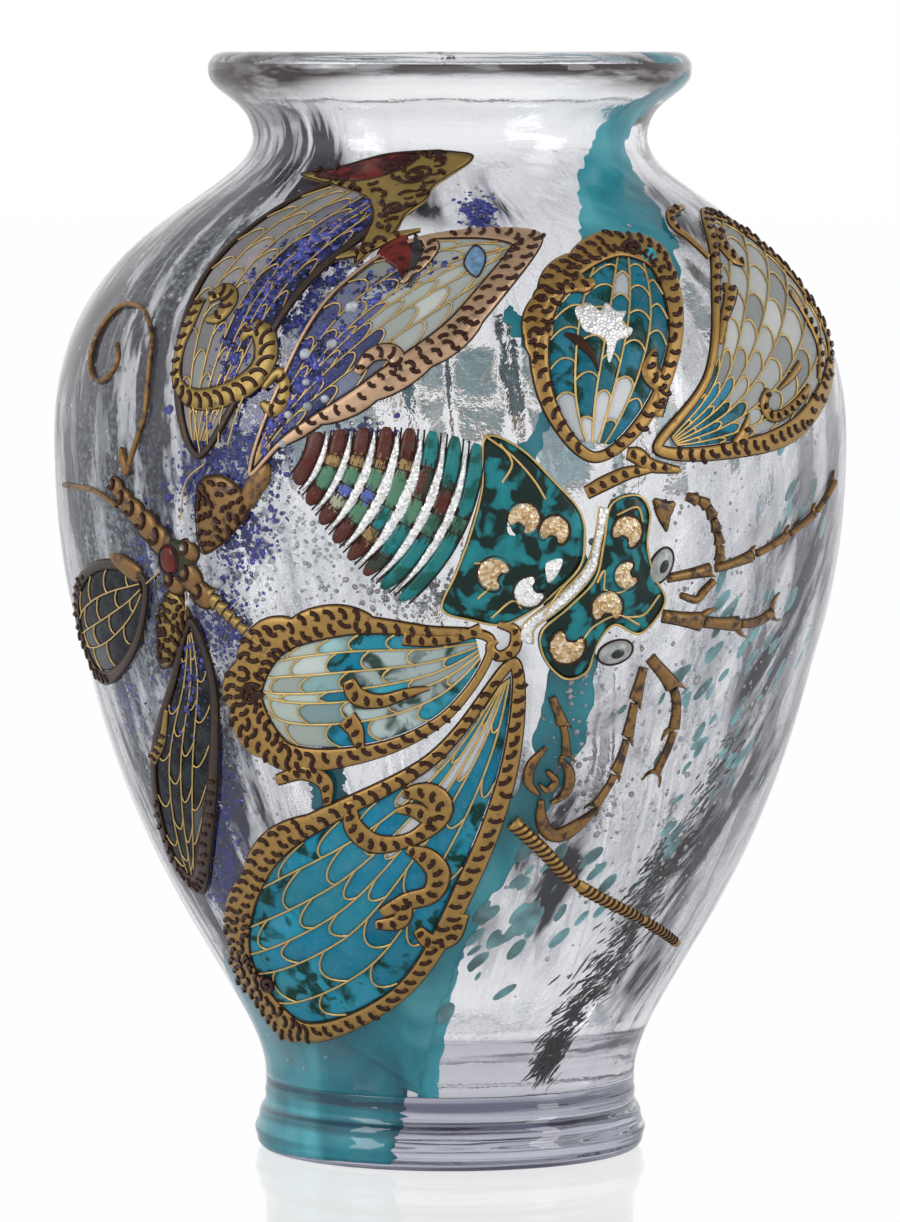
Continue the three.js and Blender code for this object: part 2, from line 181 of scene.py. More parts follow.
def ranged(add, value, *ends):
    """A value carried from one range to another: from low, from high, to low, to high."""
    labels = ("From Min", "From Max", "To Min", "To Max")
    return add("ShaderNodeMapRange", {"Value": value, **dict(zip(labels, ends))}).outputs[0]


def blended(add, mask, first, second):
    """The first colour where the mask is 0 and the second where it is 1."""
    return add("ShaderNodeMix", {0: mask, 6: first, 7: second}, data_type="RGBA").outputs[2]


def ramped(add, value, lowest, highest, *between):
    """Colours over a value, by stops of place and colour."""
    ramp = add("ShaderNodeValToRGB", {"Fac": value})
    stops = ramp.color_ramp.elements
    for number, (place, colour) in enumerate((lowest, highest, *between)):
        stop = stops[number] if number < 2 else stops.new(place)
        stop.position, stop.color = place, (*colour, 1)
    return ramp.outputs[0]


def bumped(add, height, strength, distance):
    bump = add("ShaderNodeBump", {"Height": height, "Strength": strength, "Distance": distance})
    return bump.outputs["Normal"]


def shared(add, share, first, second):
    """Two shaders in one: only the first where the share is 0 and only the second where it is 1."""
    return add("ShaderNodeMixShader", {0: share, 1: first.outputs[0], 2: second.outputs[0]})


def surfaced(made, add, colour, settings, glow=None):
    """Ends a material: one skin of the colour, and a share of it that light passes through."""
    last = add("ShaderNodeBsdfPrincipled", {"Base Color": colour, **settings})
    if glow is not None:
        last = shared(add, glow, last, add("ShaderNodeBsdfTranslucent", {"Color": colour}))
    add("ShaderNodeOutputMaterial", {"Surface": last.outputs[0]})
    return made


def ripple_group():
    """Soft waves and fine pits of hand-worked glass, as a height."""
    group, add, given = node_group("hand-worked glass", "ShaderNodeTree",
                                   {"Wave size": "Float", "Pit depth": "Float"}, {"Height": "Float"})
    pits = sums(add, "MULTIPLY", noise(add, 900.0), given["Pit depth"])
    add("NodeGroupOutput", {"Height": sums(add, "ADD", noise(add, given["Wave size"], 1.0), pits)})
    return group


hand_worked = ripple_group()


def painted_shade_rings(add, clear, strength):
    """Painted shade: darker rings that lie level in the glass's colour, standing in for the dark surroundings
    seen refracted and reflected in the foot.
    """
    place = add("ShaderNodeTexCoord")
    level = add("ShaderNodeMapping", {"Vector": place.outputs["Object"], "Scale": (7, 7, 250)})
    share = ranged(add, noise(add, 1.0, vector=level.outputs[0]), 0.44, 0.60, 0.0, strength)
    return blended(add, share, clear, (0.06, 0.06, 0.10, 1))


def clear_glass(name, tone, wave_size, wave_depth, pits, density, rings=0.0):
    """Clear glass that darkens with its own depth and lets the lamps through. rings gives it painted shade:
    dark level rings in its colour.
    """
    made, add = nodes_of(name)
    clear = (0.97, 0.975, 0.985, 1)
    ripples = add("ShaderNodeGroup", {"Wave size": wave_size, "Pit depth": pits}, node_tree=hand_worked)
    glass = add("ShaderNodeBsdfPrincipled", {
        "Base Color": painted_shade_rings(add, clear, rings) if rings else clear, "Roughness": 0.015, "IOR": 1.5,
        "Transmission Weight": 1.0, "Normal": bumped(add, ripples.outputs["Height"], 1.0, wave_depth)})
    light = add("ShaderNodeLightPath")
    through = add("ShaderNodeBsdfTransparent", {"Color": (0.95, 0.95, 0.96, 1)})
    passing = sums(add, "MAXIMUM", light.outputs["Is Shadow Ray"], light.outputs["Is Diffuse Ray"])
    either = shared(add, passing, glass, through)
    depth = add("ShaderNodeVolumeAbsorption", {"Color": tone, "Density": density})
    add("ShaderNodeOutputMaterial", {"Surface": either.outputs[0], "Volume": depth.outputs[0]})
    return made


FOOT_RADIUS, STANDING_RADIUS, BEAD_HEIGHT, RECESS_RADIUS, RECESS_DEPTH = 42.9, 40.3, 4.4, 31, 2.6
MARK_PITCH, MARK_DEPTH = 4.3, 0.44
foot_side = np.vstack([arc((STANDING_RADIUS, BEAD_HEIGHT), 2.6, BEAD_HEIGHT, -78, 0, 18),
                       bezier((FOOT_RADIUS, BEAD_HEIGHT), (FOOT_RADIUS, 7.85), (WAIST, 8.325),
                              (WAIST, TOP_OF_FOOT), 54)[1:]])
tool_marks = MARK_DEPTH / 2 * (1 - np.cos(2 * np.pi * foot_side[:, 1] / MARK_PITCH))
tool_marks *= np.clip((foot_side[:, 1] - 1.5) / 2, 0, 1) * np.clip((14.8 - foot_side[:, 1]) / 2, 0, 1)
foot_side[:, 0] -= tool_marks
recess_edge = bezier((28.6, RECESS_DEPTH), (RECESS_RADIUS, RECESS_DEPTH), (RECESS_RADIUS, 0), (33.4, 0), 9)
foot_profile = np.vstack([[(0, RECESS_DEPTH)], recess_edge, [(STANDING_RADIUS, 0)], foot_side,
                          [(0, TOP_OF_FOOT)]])
foot_points, foot_faces = turned(foot_profile, 192)
# The foot's glass has painted shade: its dark level rings stand in for dark surroundings seen through the
# foot.
foot_glass = clear_glass("violet-grey foot glass", (0.36, 0.36, 0.52, 1), 60.0, 0.0006, 0.02, 12.0, rings=1.0)
piece("foot_glass_disc", foot_points, foot_faces, foot_glass, "foot_glass", ["foot"])

# ---- The glass body ----
# Thick glass blown in a ribbed mould, so that soft upright ribs run down its inside, then swelled at the
# shoulder, drawn in to a short neck and opened to a rounded lip.

RINGS = {"waist": (WAIST, 16.0), "flank": (78.8, 104.6), "belly": (86.6, 156.0), "neck": (43.1, 221.5),
         "lip": (52.8, 236.3)}
# How far the outside keeps its direction below and above each ring. It leans outwards at the flank only.
KEEPS_ON = {"waist": (0, 16.8), "flank": (53.3, 8), "belly": (30.5, 47.6), "neck": (13.7, 8.8), "lip": (6, 0)}
LEAN = 0.25
WALL = 6.0


def outside(counts=(46, 26, 40, 14)):
    """The body's outside from waist to lip as radius and height, and where the belly line is in it."""
    stops = [(np.array(ring), np.array([LEAN if name == "flank" else 0.0, 1.0]), *KEEPS_ON[name])
             for name, ring in RINGS.items()]
    parts = [bezier(low, low + above * way, high - below * way_of_high, high, count)
             for (low, way, _, above), (high, way_of_high, below, _), count in zip(stops, stops[1:], counts)]
    return np.vstack([parts[0], *(part[1:] for part in parts[1:])]), counts[0] + counts[1] - 2


def inset(profile, depth):
    along = unit(np.gradient(profile, axis=0))
    return profile + depth * np.column_stack([-along[:, 1], along[:, 0]])


def hollow(profile):
    """The inside, from under the neck down to the bowl over the foot."""
    walls = inset(profile, WALL)
    walls = walls[(walls[:, 1] > 30) & (profile[:, 1] < 221) & (walls[:, 1] < 215.5)][::-1]
    low = walls[-1]
    t = np.linspace(0, 1, 18)[1:, None]
    bowl = (1 - t) ** 2 * low + 2 * (1 - t) * t * np.array([low[0], 24.0]) + t**2 * np.array([0.0, 24.0])
    return np.vstack([walls, bowl])


body_outside, _ = outside()
lip_roll = arc((49.3, 236.3), 3.5, 3.7, 0, 180, 20)
throat = bezier((45.8, 236.3), (45.8, 230.3), (37.1, 230.3), (37.1, 221.5), 12)
body_profile = np.vstack([[(0, 16.0)], body_outside, lip_roll[1:], throat[1:], hollow(body_outside)])
first_inside = 1 + len(body_outside) + len(lip_roll) + len(throat) - 2
rng = np.random.default_rng(7)
swell_phases = rng.uniform(0, 2 * np.pi, 6)


def blown_unevenness(middle, angles):
    """Mould ribs on the inside and slow waves on the outside, in millimetres of radius."""
    radius, height = middle[:, :1], middle[:, 1:]
    inside = (np.arange(len(middle)) >= first_inside - 1)[:, None]
    fade = np.clip((height - 26) / 30, 0, 1) * np.clip((212 - height) / 30, 0, 1)
    twist = angles[None, :] + height * 0.0012
    ribs = 0.42 * np.cos(30 * twist) + 0.12 * np.cos(60 * twist + 1)
    waves = sum(0.035 * np.sin((3 + 2 * k) * angles[None, :] + height / (9 + 2 * k) + swell_phases[k])
                for k in range(6)) - 0.11
    return np.where(inside, ribs, waves) * fade * (radius > 1)


body_points, body_faces = turned(body_profile, 300, blown_unevenness)
body_glass = clear_glass("pale body glass", (0.46, 0.46, 0.53, 1), 75.0, 0.0007, 0.05, 14.0)
piece("blown_glass_body", body_points, body_faces, body_glass, "body_glass", ["glass_body"])

# ---- Smoke, milk and crackle in the wall ----
# Between two layers of clear glass lie veils of grey smoke, milky white, silver crackle and powdered blue,
# combed slantwise on the right and upright on the left before the last clear gather. Part of the grey is
# painted shade.

body_line, belly_index = outside((240, 160, 240, 60))
line_length = travelled(body_line)
line_along = unit(np.gradient(body_line, axis=0))
VEIL_SIDES = 300


def in_glass(turn, height, depth):
    """Points in the wall: degrees from the front, height and depth under the surface in millimetres."""
    turn, height, depth = np.broadcast_arrays(np.radians(turn), height, depth)
    radius = np.interp(height, body_line[:, 1], body_line[:, 0])
    rise = np.interp(height, body_line[:, 1], line_along[:, 1])
    lean = np.interp(height, body_line[:, 1], line_along[:, 0])
    radius = radius - depth * rise
    return np.stack([radius * np.sin(turn), -radius * np.cos(turn), height + depth * lean], -1)


def painted(turn, height, patches):
    """How strong a tone is at each point, from soft ovals: turn, height, half width, half height, amount."""
    total = np.zeros(turn.shape)
    for centre, level, half_turn, half_height, amount in patches:
        apart = (turn - centre + 180) % 360 - 180
        total += amount * np.exp(-((apart / half_turn) ** 2 + ((height - level) / half_height) ** 2) ** 1.4)
    return total


# Smoke is real grey marbling and partly painted shade. The heavy patches towards the left and right edges
# also stand in for the darkening of thick glass at the outline. The thin level bands under the neck, at
# heights 207 to 214, stand in for the shoulder's inside seen refracted.
smoke_and_shade_patches = [(-64, 186, 26, 30, 1.7), (-42, 170, 12, 26, 1.1), (-48, 205, 24, 12, 1.2),
                 (-60, 145, 18, 30, 1.4), (-54, 96, 20, 34, 1.5), (-54, 58, 22, 28, 1.5),
                 (-34, 214, 10, 10, 0.5), (-8, 214, 22, 3, 0.5), (22, 211, 12, 3, 0.5), (17, 76, 9, 12, 1.0),
                 (20, 64, 8, 10, 0.7), (9, 102, 3, 16, 0.8), (12, 52, 12, 9, 0.6), (40, 62, 10, 14, 0.5),
                 (58, 60, 12, 26, 0.5), (52, 40, 16, 14, 0.35), (68, 110, 16, 48, 1.0),
                 (47, 128, 8, 34, 0.35), (82, 186, 18, 26, 0.8), (60, 205, 20, 9, 0.7),
                 (-44, 219, 18, 8, 0.7), (5, 207, 16, 3.5, 0.75), (-20, 209, 20, 4, 0.5),
                 (25, 100, 6, 12, 0.55), (-75, 225, 30, 10, 0.6), (110, 120, 22, 60, 0.5),
                 (150, 70, 30, 40, 0.5), (-105, 150, 22, 50, 0.6), (-140, 90, 25, 50, 0.5),
                 (-160, 190, 30, 25, 0.5), (140, 190, 25, 25, 0.4), (180, 60, 20, 25, 0.4)]
milk_patches = [(54, 130, 24, 60, 0.6), (34, 86, 16, 44, 0.4), (70, 70, 20, 50, 0.6), (20, 45, 22, 20, 0.3),
                (-18, 136, 16, 15, 0.9), (-58, 160, 14, 40, 0.5), (-50, 110, 14, 40, 0.4),
                (0, 212, 60, 5, 0.25), (-60, 200, 30, 14, 0.5), (70, 195, 25, 20, 0.5),
                (120, 110, 35, 80, 0.6), (-120, 120, 40, 80, 0.55), (180, 140, 40, 60, 0.35),
                (170, 60, 30, 30, 0.5)]
crackle_patches = [(-22, 137, 12, 11, 1.0), (-34, 118, 8, 10, 0.7), (-5, 127, 7, 5, 0.7),
                   (-58, 130, 12, 40, 0.6), (-55, 90, 10, 30, 0.6), (-40, 98, 8, 12, 0.6),
                   (20, 100, 4, 12, 0.5), (26, 82, 5, 7, 0.4), (45, 75, 12, 16, 0.2), (-48, 195, 16, 12, 0.4),
                   (120, 140, 18, 30, 0.5), (-130, 130, 20, 50, 0.5), (-170, 100, 16, 30, 0.4)]
blue_patches = [(-36, 150, 6, 8, 1.6), (-29, 158, 6, 9, 1.6), (-31, 140, 5, 9, 1.2), (-36, 120, 5, 8, 1.0),
                (-45, 116, 5, 8, 1.2), (-48, 132, 5, 10, 0.6), (-64, 103, 5, 9, 0.6), (-46, 98, 5, 14, 1.3),
                (-19, 194, 7, 6, 1.0), (-22, 184, 7, 7, 1.2), (-27, 170, 5, 7, 1.2), (-48, 82, 7, 14, 1.6),
                (-54, 66, 8, 14, 1.4), (6, 207, 3, 3, 0.9), (-12, 160, 4, 3, 0.4), (-120, 140, 10, 30, 0.7),
                (-135, 100, 8, 26, 0.6), (150, 170, 10, 14, 0.5)]
brown_patches = [(0, 237.5, 400, 4.5, 1.0), (-62, 236, 34, 9, 1.0), (64, 237, 34, 7, 1.0),
                 (180, 236, 70, 6, 0.7), (17, 76, 9, 8, 0.5)]

veil_heights = np.r_[np.linspace(19, 221, 150), np.linspace(223, 235.5, 10)]
veil_turns = np.arange(VEIL_SIDES) * 360 / VEIL_SIDES
veil_turn, veil_height = np.meshgrid(veil_turns, veil_heights)
VEIL_DEPTH = 2.7
veil_rows = in_glass(veil_turn, veil_height, VEIL_DEPTH)
rim_row = in_glass(veil_turns, RINGS["lip"][1], 2.0) + [0, 0, 0.8]
veil_points = np.vstack([veil_rows.reshape(-1, 3), rim_row])
rows_of_veil = len(veil_heights) + 1
veil_index = np.arange(rows_of_veil * VEIL_SIDES).reshape(rows_of_veil, VEIL_SIDES)
veil_after = np.roll(veil_index, -1, 1)
veil_faces = np.stack([veil_index[:-1], veil_after[:-1], veil_after[1:], veil_index[1:]], -1).reshape(-1, 4)
all_turn = np.r_[veil_turn.ravel(), veil_turns]
all_height = np.r_[veil_height.ravel(), np.full(VEIL_SIDES, 237.0)]
veils = np.column_stack([painted(all_turn, all_height, p) for p in
                         (smoke_and_shade_patches, milk_patches, crackle_patches, blue_patches)])
rim_brown = painted(all_turn, all_height, brown_patches)
fan = np.radians(20 * np.tanh((all_turn + 180) % 360 / 30 - 6.3) + 12)
around = ((all_turn + 180) % 360 - 180) * np.pi / 180 * RINGS["belly"][0]
up_wall = np.interp(all_height, body_line[:, 1], line_length)
combed = np.column_stack([around * np.cos(fan) - up_wall * np.sin(fan),
                          around * np.sin(fan) + up_wall * np.cos(fan), np.zeros(len(fan)),
                          np.ones(len(fan))])


def veil_finish():
    """Each tone has its own colour and grain, and what none of them covers is clear."""
    made, add = nodes_of("veils in the wall")
    tones = add("ShaderNodeAttribute", attribute_name="tones").outputs
    split = add("ShaderNodeSeparateColor", {0: tones["Color"]}).outputs
    stroke = add("ShaderNodeAttribute", attribute_name="combed").outputs["Vector"]
    place = add("ShaderNodeTexCoord").outputs["Object"]

    def grain(scale, stretch, detail, low, high, vector):
        lay = add("ShaderNodeMapping", {"Vector": vector, "Scale": stretch})
        return ranged(add, noise(add, scale, detail, lay.outputs[0], Roughness=0.65), low, high)

    def times(first, second):
        return sums(add, "MULTIPLY", first, second, clamp=True)

    strokes = grain(0.16, (1.0, 0.16, 1), 5.0, 0.40, 0.62, stroke)
    clouds = grain(0.05, (1.0, 0.35, 1), 4.0, 0.36, 0.60, stroke)
    wisps = grain(0.45, (1.0, 0.10, 1), 4.0, 0.42, 0.60, stroke)
    grit = grain(700.0, (1, 1, 1), 3.0, 0.46, 0.62, place)
    speck = grain(420.0, (1, 1, 1), 4.0, 0.44, 0.56, place)
    ring = grain(55.0, (1, 1, 7), 3.0, 0.28, 0.52, place)
    # Painted shade in part: this dark tone is real grey marbling, and also shade at the edges and under the
    # neck.
    smoke_and_shade = times(split["Red"], ranged(add, times(strokes, clouds), 0.0, 1.0, 0.30, 2.3))
    milk = sums(add, "ADD", times(times(split["Green"], wisps), 0.62), times(split["Green"], 0.08),
                clamp=True)
    crackle = times(times(split["Blue"], grit), 0.9)
    blue = times(times(tones["Alpha"], speck), 1.1)
    rim = times(add("ShaderNodeAttribute", attribute_name="rim_brown").outputs["Fac"],
                ranged(add, ring, 0.0, 1.0, 0.55, 1.0))
    colour, alpha = (0.86, 0.87, 0.92, 1), milk
    for tone, mask in (((0.045, 0.043, 0.062, 1), smoke_and_shade), ((0.56, 0.69, 0.72, 1), crackle),
                       ((0.05, 0.03, 0.028, 1), rim), ((0.03, 0.045, 0.24, 1), blue)):
        colour = blended(add, mask, colour, tone)
        alpha = sums(add, "MAXIMUM", alpha, mask)
    solid = add("ShaderNodeBsdfPrincipled", {"Base Color": colour, "Roughness": 0.5})
    glow = add("ShaderNodeBsdfTranslucent", {"Color": colour})
    shown = shared(add, alpha, add("ShaderNodeBsdfTransparent"), shared(add, 0.55, solid, glow))
    add("ShaderNodeOutputMaterial", {"Surface": shown.outputs[0]})
    return made


piece("marbling_veils", veil_points, veil_faces, veil_finish(), None,
      tints={"tones": np.clip(veils, 0, 1.5), "combed": combed,
             "rim_brown": np.column_stack([np.clip(rim_brown, 0, 1)] * 3 + [np.ones(len(rim_brown))])})

# ---- The turquoise streak ----
# Opaque turquoise glass trailed down the whole vase from the lip to the foot, where it spreads, then
# flattened and covered by the last clear gather. Its edges are ragged where the trail was combed.


def turquoise_glass():
    made, add = nodes_of("turquoise glass")
    place = add("ShaderNodeTexCoord")
    drawn = add("ShaderNodeMapping", {"Vector": place.outputs["Object"], "Rotation": (0.0, 0.5, 0.0),
                                      "Scale": (1.0, 1.0, 0.35)})
    tint = ramped(add, noise(add, 60.0, 4.0, drawn.outputs[0], Distortion=0.8), (0.32, (0.010, 0.25, 0.33)),
                  (0.70, (0.16, 0.66, 0.72)), (0.52, (0.035, 0.45, 0.53)))
    return surfaced(made, add, tint, {"Roughness": 0.25, "Specular IOR Level": 0.2}, 0.5)


turquoise = turquoise_glass()


def trail(name, stops, place, depth, thickness, ragged, seed, rows=90, columns=16):
    """A flat trail of glass along stops of turn, height and half width in millimetres."""
    shake = np.random.default_rng(seed)
    t = np.linspace(0, len(stops) - 1, rows)
    turn, height, half = (np.interp(t, range(len(stops)), column) for column in zip(*stops))
    turn, height, half = (np.convolve(np.pad(v, 6, "edge"), np.ones(13) / 13, "valid")
                          for v in (turn, height, half))
    rough = [np.convolve(shake.normal(0, ragged, rows + 2), np.ones(3) / 2.2, "valid") for _ in range(2)]
    degree = np.pi / 180 * np.interp(height, body_line[:, 1], body_line[:, 0])
    step = unit(np.column_stack([np.gradient(turn) * degree, np.gradient(height)]))
    share = np.linspace(-1, 1, columns)
    side = np.where(share < 0, rough[0][:, None], rough[1][:, None])
    across = share * (half[:, None] + side * np.abs(share))
    turns = turn[:, None] - across * step[:, 1:] / degree[:, None]
    heights = np.clip(height[:, None] + across * step[:, :1], 16.25, 235.4)
    upper = place(turns, heights, depth)
    lower = place(turns, heights, depth + thickness * (1 - np.abs(share) ** 6))
    return piece(name, *slab(upper, lower), turquoise, "teal_enamel")


def slab(upper, lower):
    """A closed sheet between two grids of points."""
    rows, columns = upper.shape[:2]
    count = rows * columns
    points = np.vstack([upper.reshape(-1, 3), lower.reshape(-1, 3)])
    index = np.arange(count).reshape(rows, columns)
    quads = np.stack([index[:-1, :-1], index[:-1, 1:], index[1:, 1:], index[1:, :-1]], -1).reshape(-1, 4)
    rim = np.concatenate([index[0, :-1], index[:-1, -1], index[-1, :0:-1], index[:0:-1, 0]])
    after = np.roll(rim, -1)
    sides = np.stack([rim, rim + count, after + count, after], -1)
    faces = np.vstack([quads, quads[:, ::-1] + count, sides])
    return points, outwards(points, faces.tolist())


trail("turquoise_trail_front", [(84, 235, 2.5), (78, 233, 3), (70, 229.5, 3.5), (60, 224, 4.5),
                                (51, 217, 5.5), (44, 210, 7.5), (37, 203, 10), (32, 196, 11), (29, 189, 11),
                                (26, 183, 8), (24, 178, 4)],
      in_glass, 2.4, 1.3, 0.7, 3)
trail("turquoise_trail_middle", [(8, 188, 1.0), (11, 184, 2.5), (13.5, 179, 3.0), (15, 172, 1.6),
                                 (14, 164, 1.4), (10, 157, 2), (10, 150, 4), (13, 142, 6), (16, 134, 6.5),
                                 (18.5, 124, 6), (19, 112, 6), (18.5, 100, 6), (16.5, 88, 5), (13, 79, 4.5),
                                 (8, 70, 5), (2, 60, 6), (-5, 50, 8), (-13, 39, 11), (-21, 30, 13),
                                 (-27, 22, 13)],
      in_glass, 2.4, 1.3, 0.9, 5, rows=150)
trail("turquoise_trail_left", [(-19, 96, 1.5), (-20, 91, 3), (-21, 84, 4), (-22, 76, 3)],
      in_glass, 2.6, 1.2, 0.6, 8)
trail("turquoise_trail_low", [(2, 52, 1.5), (-1, 44, 2.5), (-4, 34, 3.5), (-8, 25, 4), (-11, 15, 4.5)],
      in_glass, 2.8, 1.0, 0.5, 14, rows=40)
trail("turquoise_trail_waist", [(-44, 48, 4), (-50, 41, 12), (-55, 34, 19), (-56, 28, 26), (-56, 22, 30),
                                (-56, 15.5, 30)], in_glass, 4.0, 1.0, 0.5, 21, rows=60, columns=30)
foot_line = foot_profile[np.r_[False, np.diff(foot_profile[:, 1]) > 1e-4]]


def in_foot(turn, height, depth):
    turn, height, depth = np.broadcast_arrays(np.radians(turn), height, depth)
    radius = np.interp(height, foot_line[:, 1], foot_line[:, 0]) - depth
    return np.stack([radius * np.sin(turn), -radius * np.cos(turn), height], -1)


foot_rows = np.linspace(1.6, 15.7, 22)
foot_shake = np.random.default_rng(4)
right_edge = -18 + (foot_rows / 15) * 4 + foot_shake.normal(0, 0.8, 22)
foot_turns = np.linspace(0, 1, 90) * (-112 - right_edge[:, None]) + right_edge[:, None]
foot_heights = np.repeat(foot_rows[:, None], 90, axis=1)
piece("turquoise_in_the_foot", *slab(in_foot(foot_turns, foot_heights, 1.3),
                                     in_foot(foot_turns, foot_heights, 2.6)),
      turquoise, "teal_enamel")

# ---- Splinters, flecks, granules and bubbles ----
# Before the last gather the hot glass was rolled in crushed black, turquoise and blue glass and in flakes of
# mica. Small air bubbles were trapped around them.


def finished(add, shape, finish):
    """Ends a tree of geometry nodes: real geometry with its material."""
    real = add("GeometryNodeRealizeInstances", {"Geometry": shape})
    done = add("GeometryNodeSetMaterial", {"Geometry": real.outputs["Geometry"], "Material": finish})
    add("NodeGroupOutput", {"Geometry": done.outputs["Geometry"]})


def stud_tree():
    """Puts one small rounded stone, of each point's own size and direction, on every point."""
    tree, add, given = node_group("stones on points", "GeometryNodeTree",
                                  {"Geometry": "Geometry", "Roundness": "Int", "Size": "Float",
                                   "Finish": "Material"},
                                  {"Geometry": "Geometry"})
    stone = add("GeometryNodeMeshIcoSphere", {"Radius": 1.0, "Subdivisions": given["Roundness"]})
    smooth = add("GeometryNodeSetShadeSmooth", {"Geometry": stone.outputs["Mesh"]})
    up, way, size = (
        add("GeometryNodeInputNamedAttribute", {"Name": label}, data_type="FLOAT_VECTOR").outputs["Attribute"]
        for label in ("out", "along", "size"))
    turn = add("FunctionNodeAxesToRotation", {"Primary Axis": up, "Secondary Axis": way},
               primary_axis="Z", secondary_axis="X")
    scale = add("ShaderNodeVectorMath", {0: size, "Scale": given["Size"]}, operation="SCALE")
    laid = add("GeometryNodeInstanceOnPoints", {"Points": given["Geometry"],
                                                "Instance": smooth.outputs["Geometry"],
                                                "Rotation": turn.outputs["Rotation"],
                                                "Scale": scale.outputs["Vector"]})
    finished(add, laid.outputs["Instances"], given["Finish"])
    return tree


stones_on_points = stud_tree()


def grown(name, guide, tree, inputs, stands_for=()):
    """A plain mesh from a guide mesh and a tree of geometry nodes."""
    holder = bpy.data.objects.new(name, guide)
    bpy.context.scene.collection.objects.link(holder)
    change = holder.modifiers.new("grow", "NODES")
    change.node_group = tree
    for item in tree.interface.items_tree:
        if item.in_out == "INPUT" and item.name in inputs:
            change[item.identifier] = inputs[item.name]
    holder.update_tag()
    view = bpy.context.evaluated_depsgraph_get()
    result = bpy.data.meshes.new_from_object(holder.evaluated_get(view), depsgraph=view)
    holder.modifiers.remove(change)
    holder.data = result
    bpy.data.meshes.remove(guide)
    result.name = name
    settle(holder, stands_for)
    return holder


def stones(name, at, out, along, sizes, finish, roundness=1):
    """Stones at points in millimetres. A size is length, width and height, as half lengths."""
    guide = bpy.data.meshes.new(name + "_points")
    guide.from_pydata((np.asarray(at) * MM).tolist(), [], [])
    for label, values in (("out", out), ("along", along), ("size", np.asarray(sizes) * MM)):
        layer = guide.attributes.new(label, "FLOAT_VECTOR", "POINT")
        layer.data.foreach_set("vector", np.asarray(values, np.float32).ravel())
    return grown(name, guide, stones_on_points, {"Roundness": roundness, "Size": 1.0, "Finish": finish})


def wall_frame(turn, height, slant):
    """Outward and slanted directions in the wall, the slant in degrees from level, rising to the right."""
    turn = np.radians(turn)
    rise = np.interp(height, body_line[:, 1], line_along[:, 1])
    lean = np.interp(height, body_line[:, 1], line_along[:, 0])
    out = np.stack([rise * np.sin(turn), -rise * np.cos(turn), -lean], -1)
    right = np.stack([np.cos(turn), np.sin(turn), np.zeros_like(turn)], -1)
    up = np.cross(out, right) * -1
    up *= np.sign(up[..., 2:] + 1e-9)
    slant = np.radians(slant)
    return out, right * np.cos(slant)[..., None] + up * np.sin(slant)[..., None]


def plain_finish(name, colour, roughness, metallic=0.0, glow=None, grain=900.0, spread=0.35):
    """A small stone's finish: its colour varies from stone to stone and within each."""
    made, add = nodes_of(name)
    dark = [c * (1 - spread) for c in colour]
    light = [min(1.0, c * (1 + spread) + 0.05 * spread) for c in colour]
    tint = ramped(add, noise(add, grain), (0.35, dark), (0.65, light))
    return surfaced(made, add, tint, {"Roughness": roughness, "Metallic": metallic}, glow)


def scattered(seed, count, patches):
    """Turns and heights thick in the middle of each patch: turn, height, half width, half height, share."""
    pick = np.random.default_rng(seed)
    share = np.array([p[4] for p in patches], float)
    which = pick.choice(len(patches), count, p=share / share.sum())
    centres = np.array([p[:4] for p in patches], float)[which]
    turn = centres[:, 0] + centres[:, 2] * pick.normal(0, 0.6, count)
    height = np.clip(centres[:, 1] + centres[:, 3] * pick.normal(0, 0.6, count), 20, 232)
    return turn, height, pick


# Black splinters in a slanting band at the lower right, in broken strokes.
band = np.array([(56, 96), (52, 85), (51, 74), (45, 64), (43, 55), (41, 44), (38, 37), (34, 28),
                 (30, 20)], float)
pick = np.random.default_rng(21)
tries = 1500
along_band = pick.beta(1.3, 0.9, tries) * (len(band) - 1)
clump = np.sin(along_band * 9.0) + pick.normal(0, 0.9, tries) > -0.5
along_band = along_band[clump]
count = len(along_band)
band_turn = np.interp(along_band, range(len(band)), band[:, 0])
band_height = np.interp(along_band, range(len(band)), band[:, 1])
side = pick.normal(0, 1.0, count) * np.interp(along_band, [0, 4, 8], [1.6, 3.6, 1.3])
radius = np.interp(band_height, body_line[:, 1], body_line[:, 0])
band_turn = band_turn + np.degrees(side / radius)
band_height = band_height - side * 0.35 + pick.normal(0, 0.8, count)
out, along = wall_frame(band_turn, band_height, 48 + pick.normal(0, 14, count))
stones("black_splinters", in_glass(band_turn, band_height, 2.0 + pick.uniform(0, 1.4, count)), out, along,
       np.column_stack([pick.gamma(2.4, 0.58, count) + 0.2, pick.uniform(0.12, 0.40, count),
                        np.full(count, 0.12)]),
       plain_finish("black splinters", (0.012, 0.012, 0.014), 0.4))

# Turquoise flecks, pressed flat, slanting up to the right.
count = 150
turn, height, pick = scattered(5, count, [(46, 120, 12, 16, 3), (48, 95, 14, 16, 3), (20, 60, 12, 14, 2),
                                          (60, 115, 10, 26, 2), (44, 75, 10, 14, 1), (6, 50, 7, 10, 1),
                                          (110, 120, 16, 40, 2), (150, 100, 16, 30, 1.4),
                                          (62, 150, 12, 14, 1)])
out, along = wall_frame(turn, height, 58 + pick.normal(0, 10, count))
length = pick.uniform(1.2, 3.4, count)
stones("turquoise_flecks", in_glass(turn, height, 2.3), out, along,
       np.column_stack([length, length * pick.uniform(0.3, 0.5, count), np.full(count, 0.18)]),
       plain_finish("pale turquoise flecks", (0.30, 0.56, 0.58), 0.3, glow=0.6, grain=200.0),
       3)


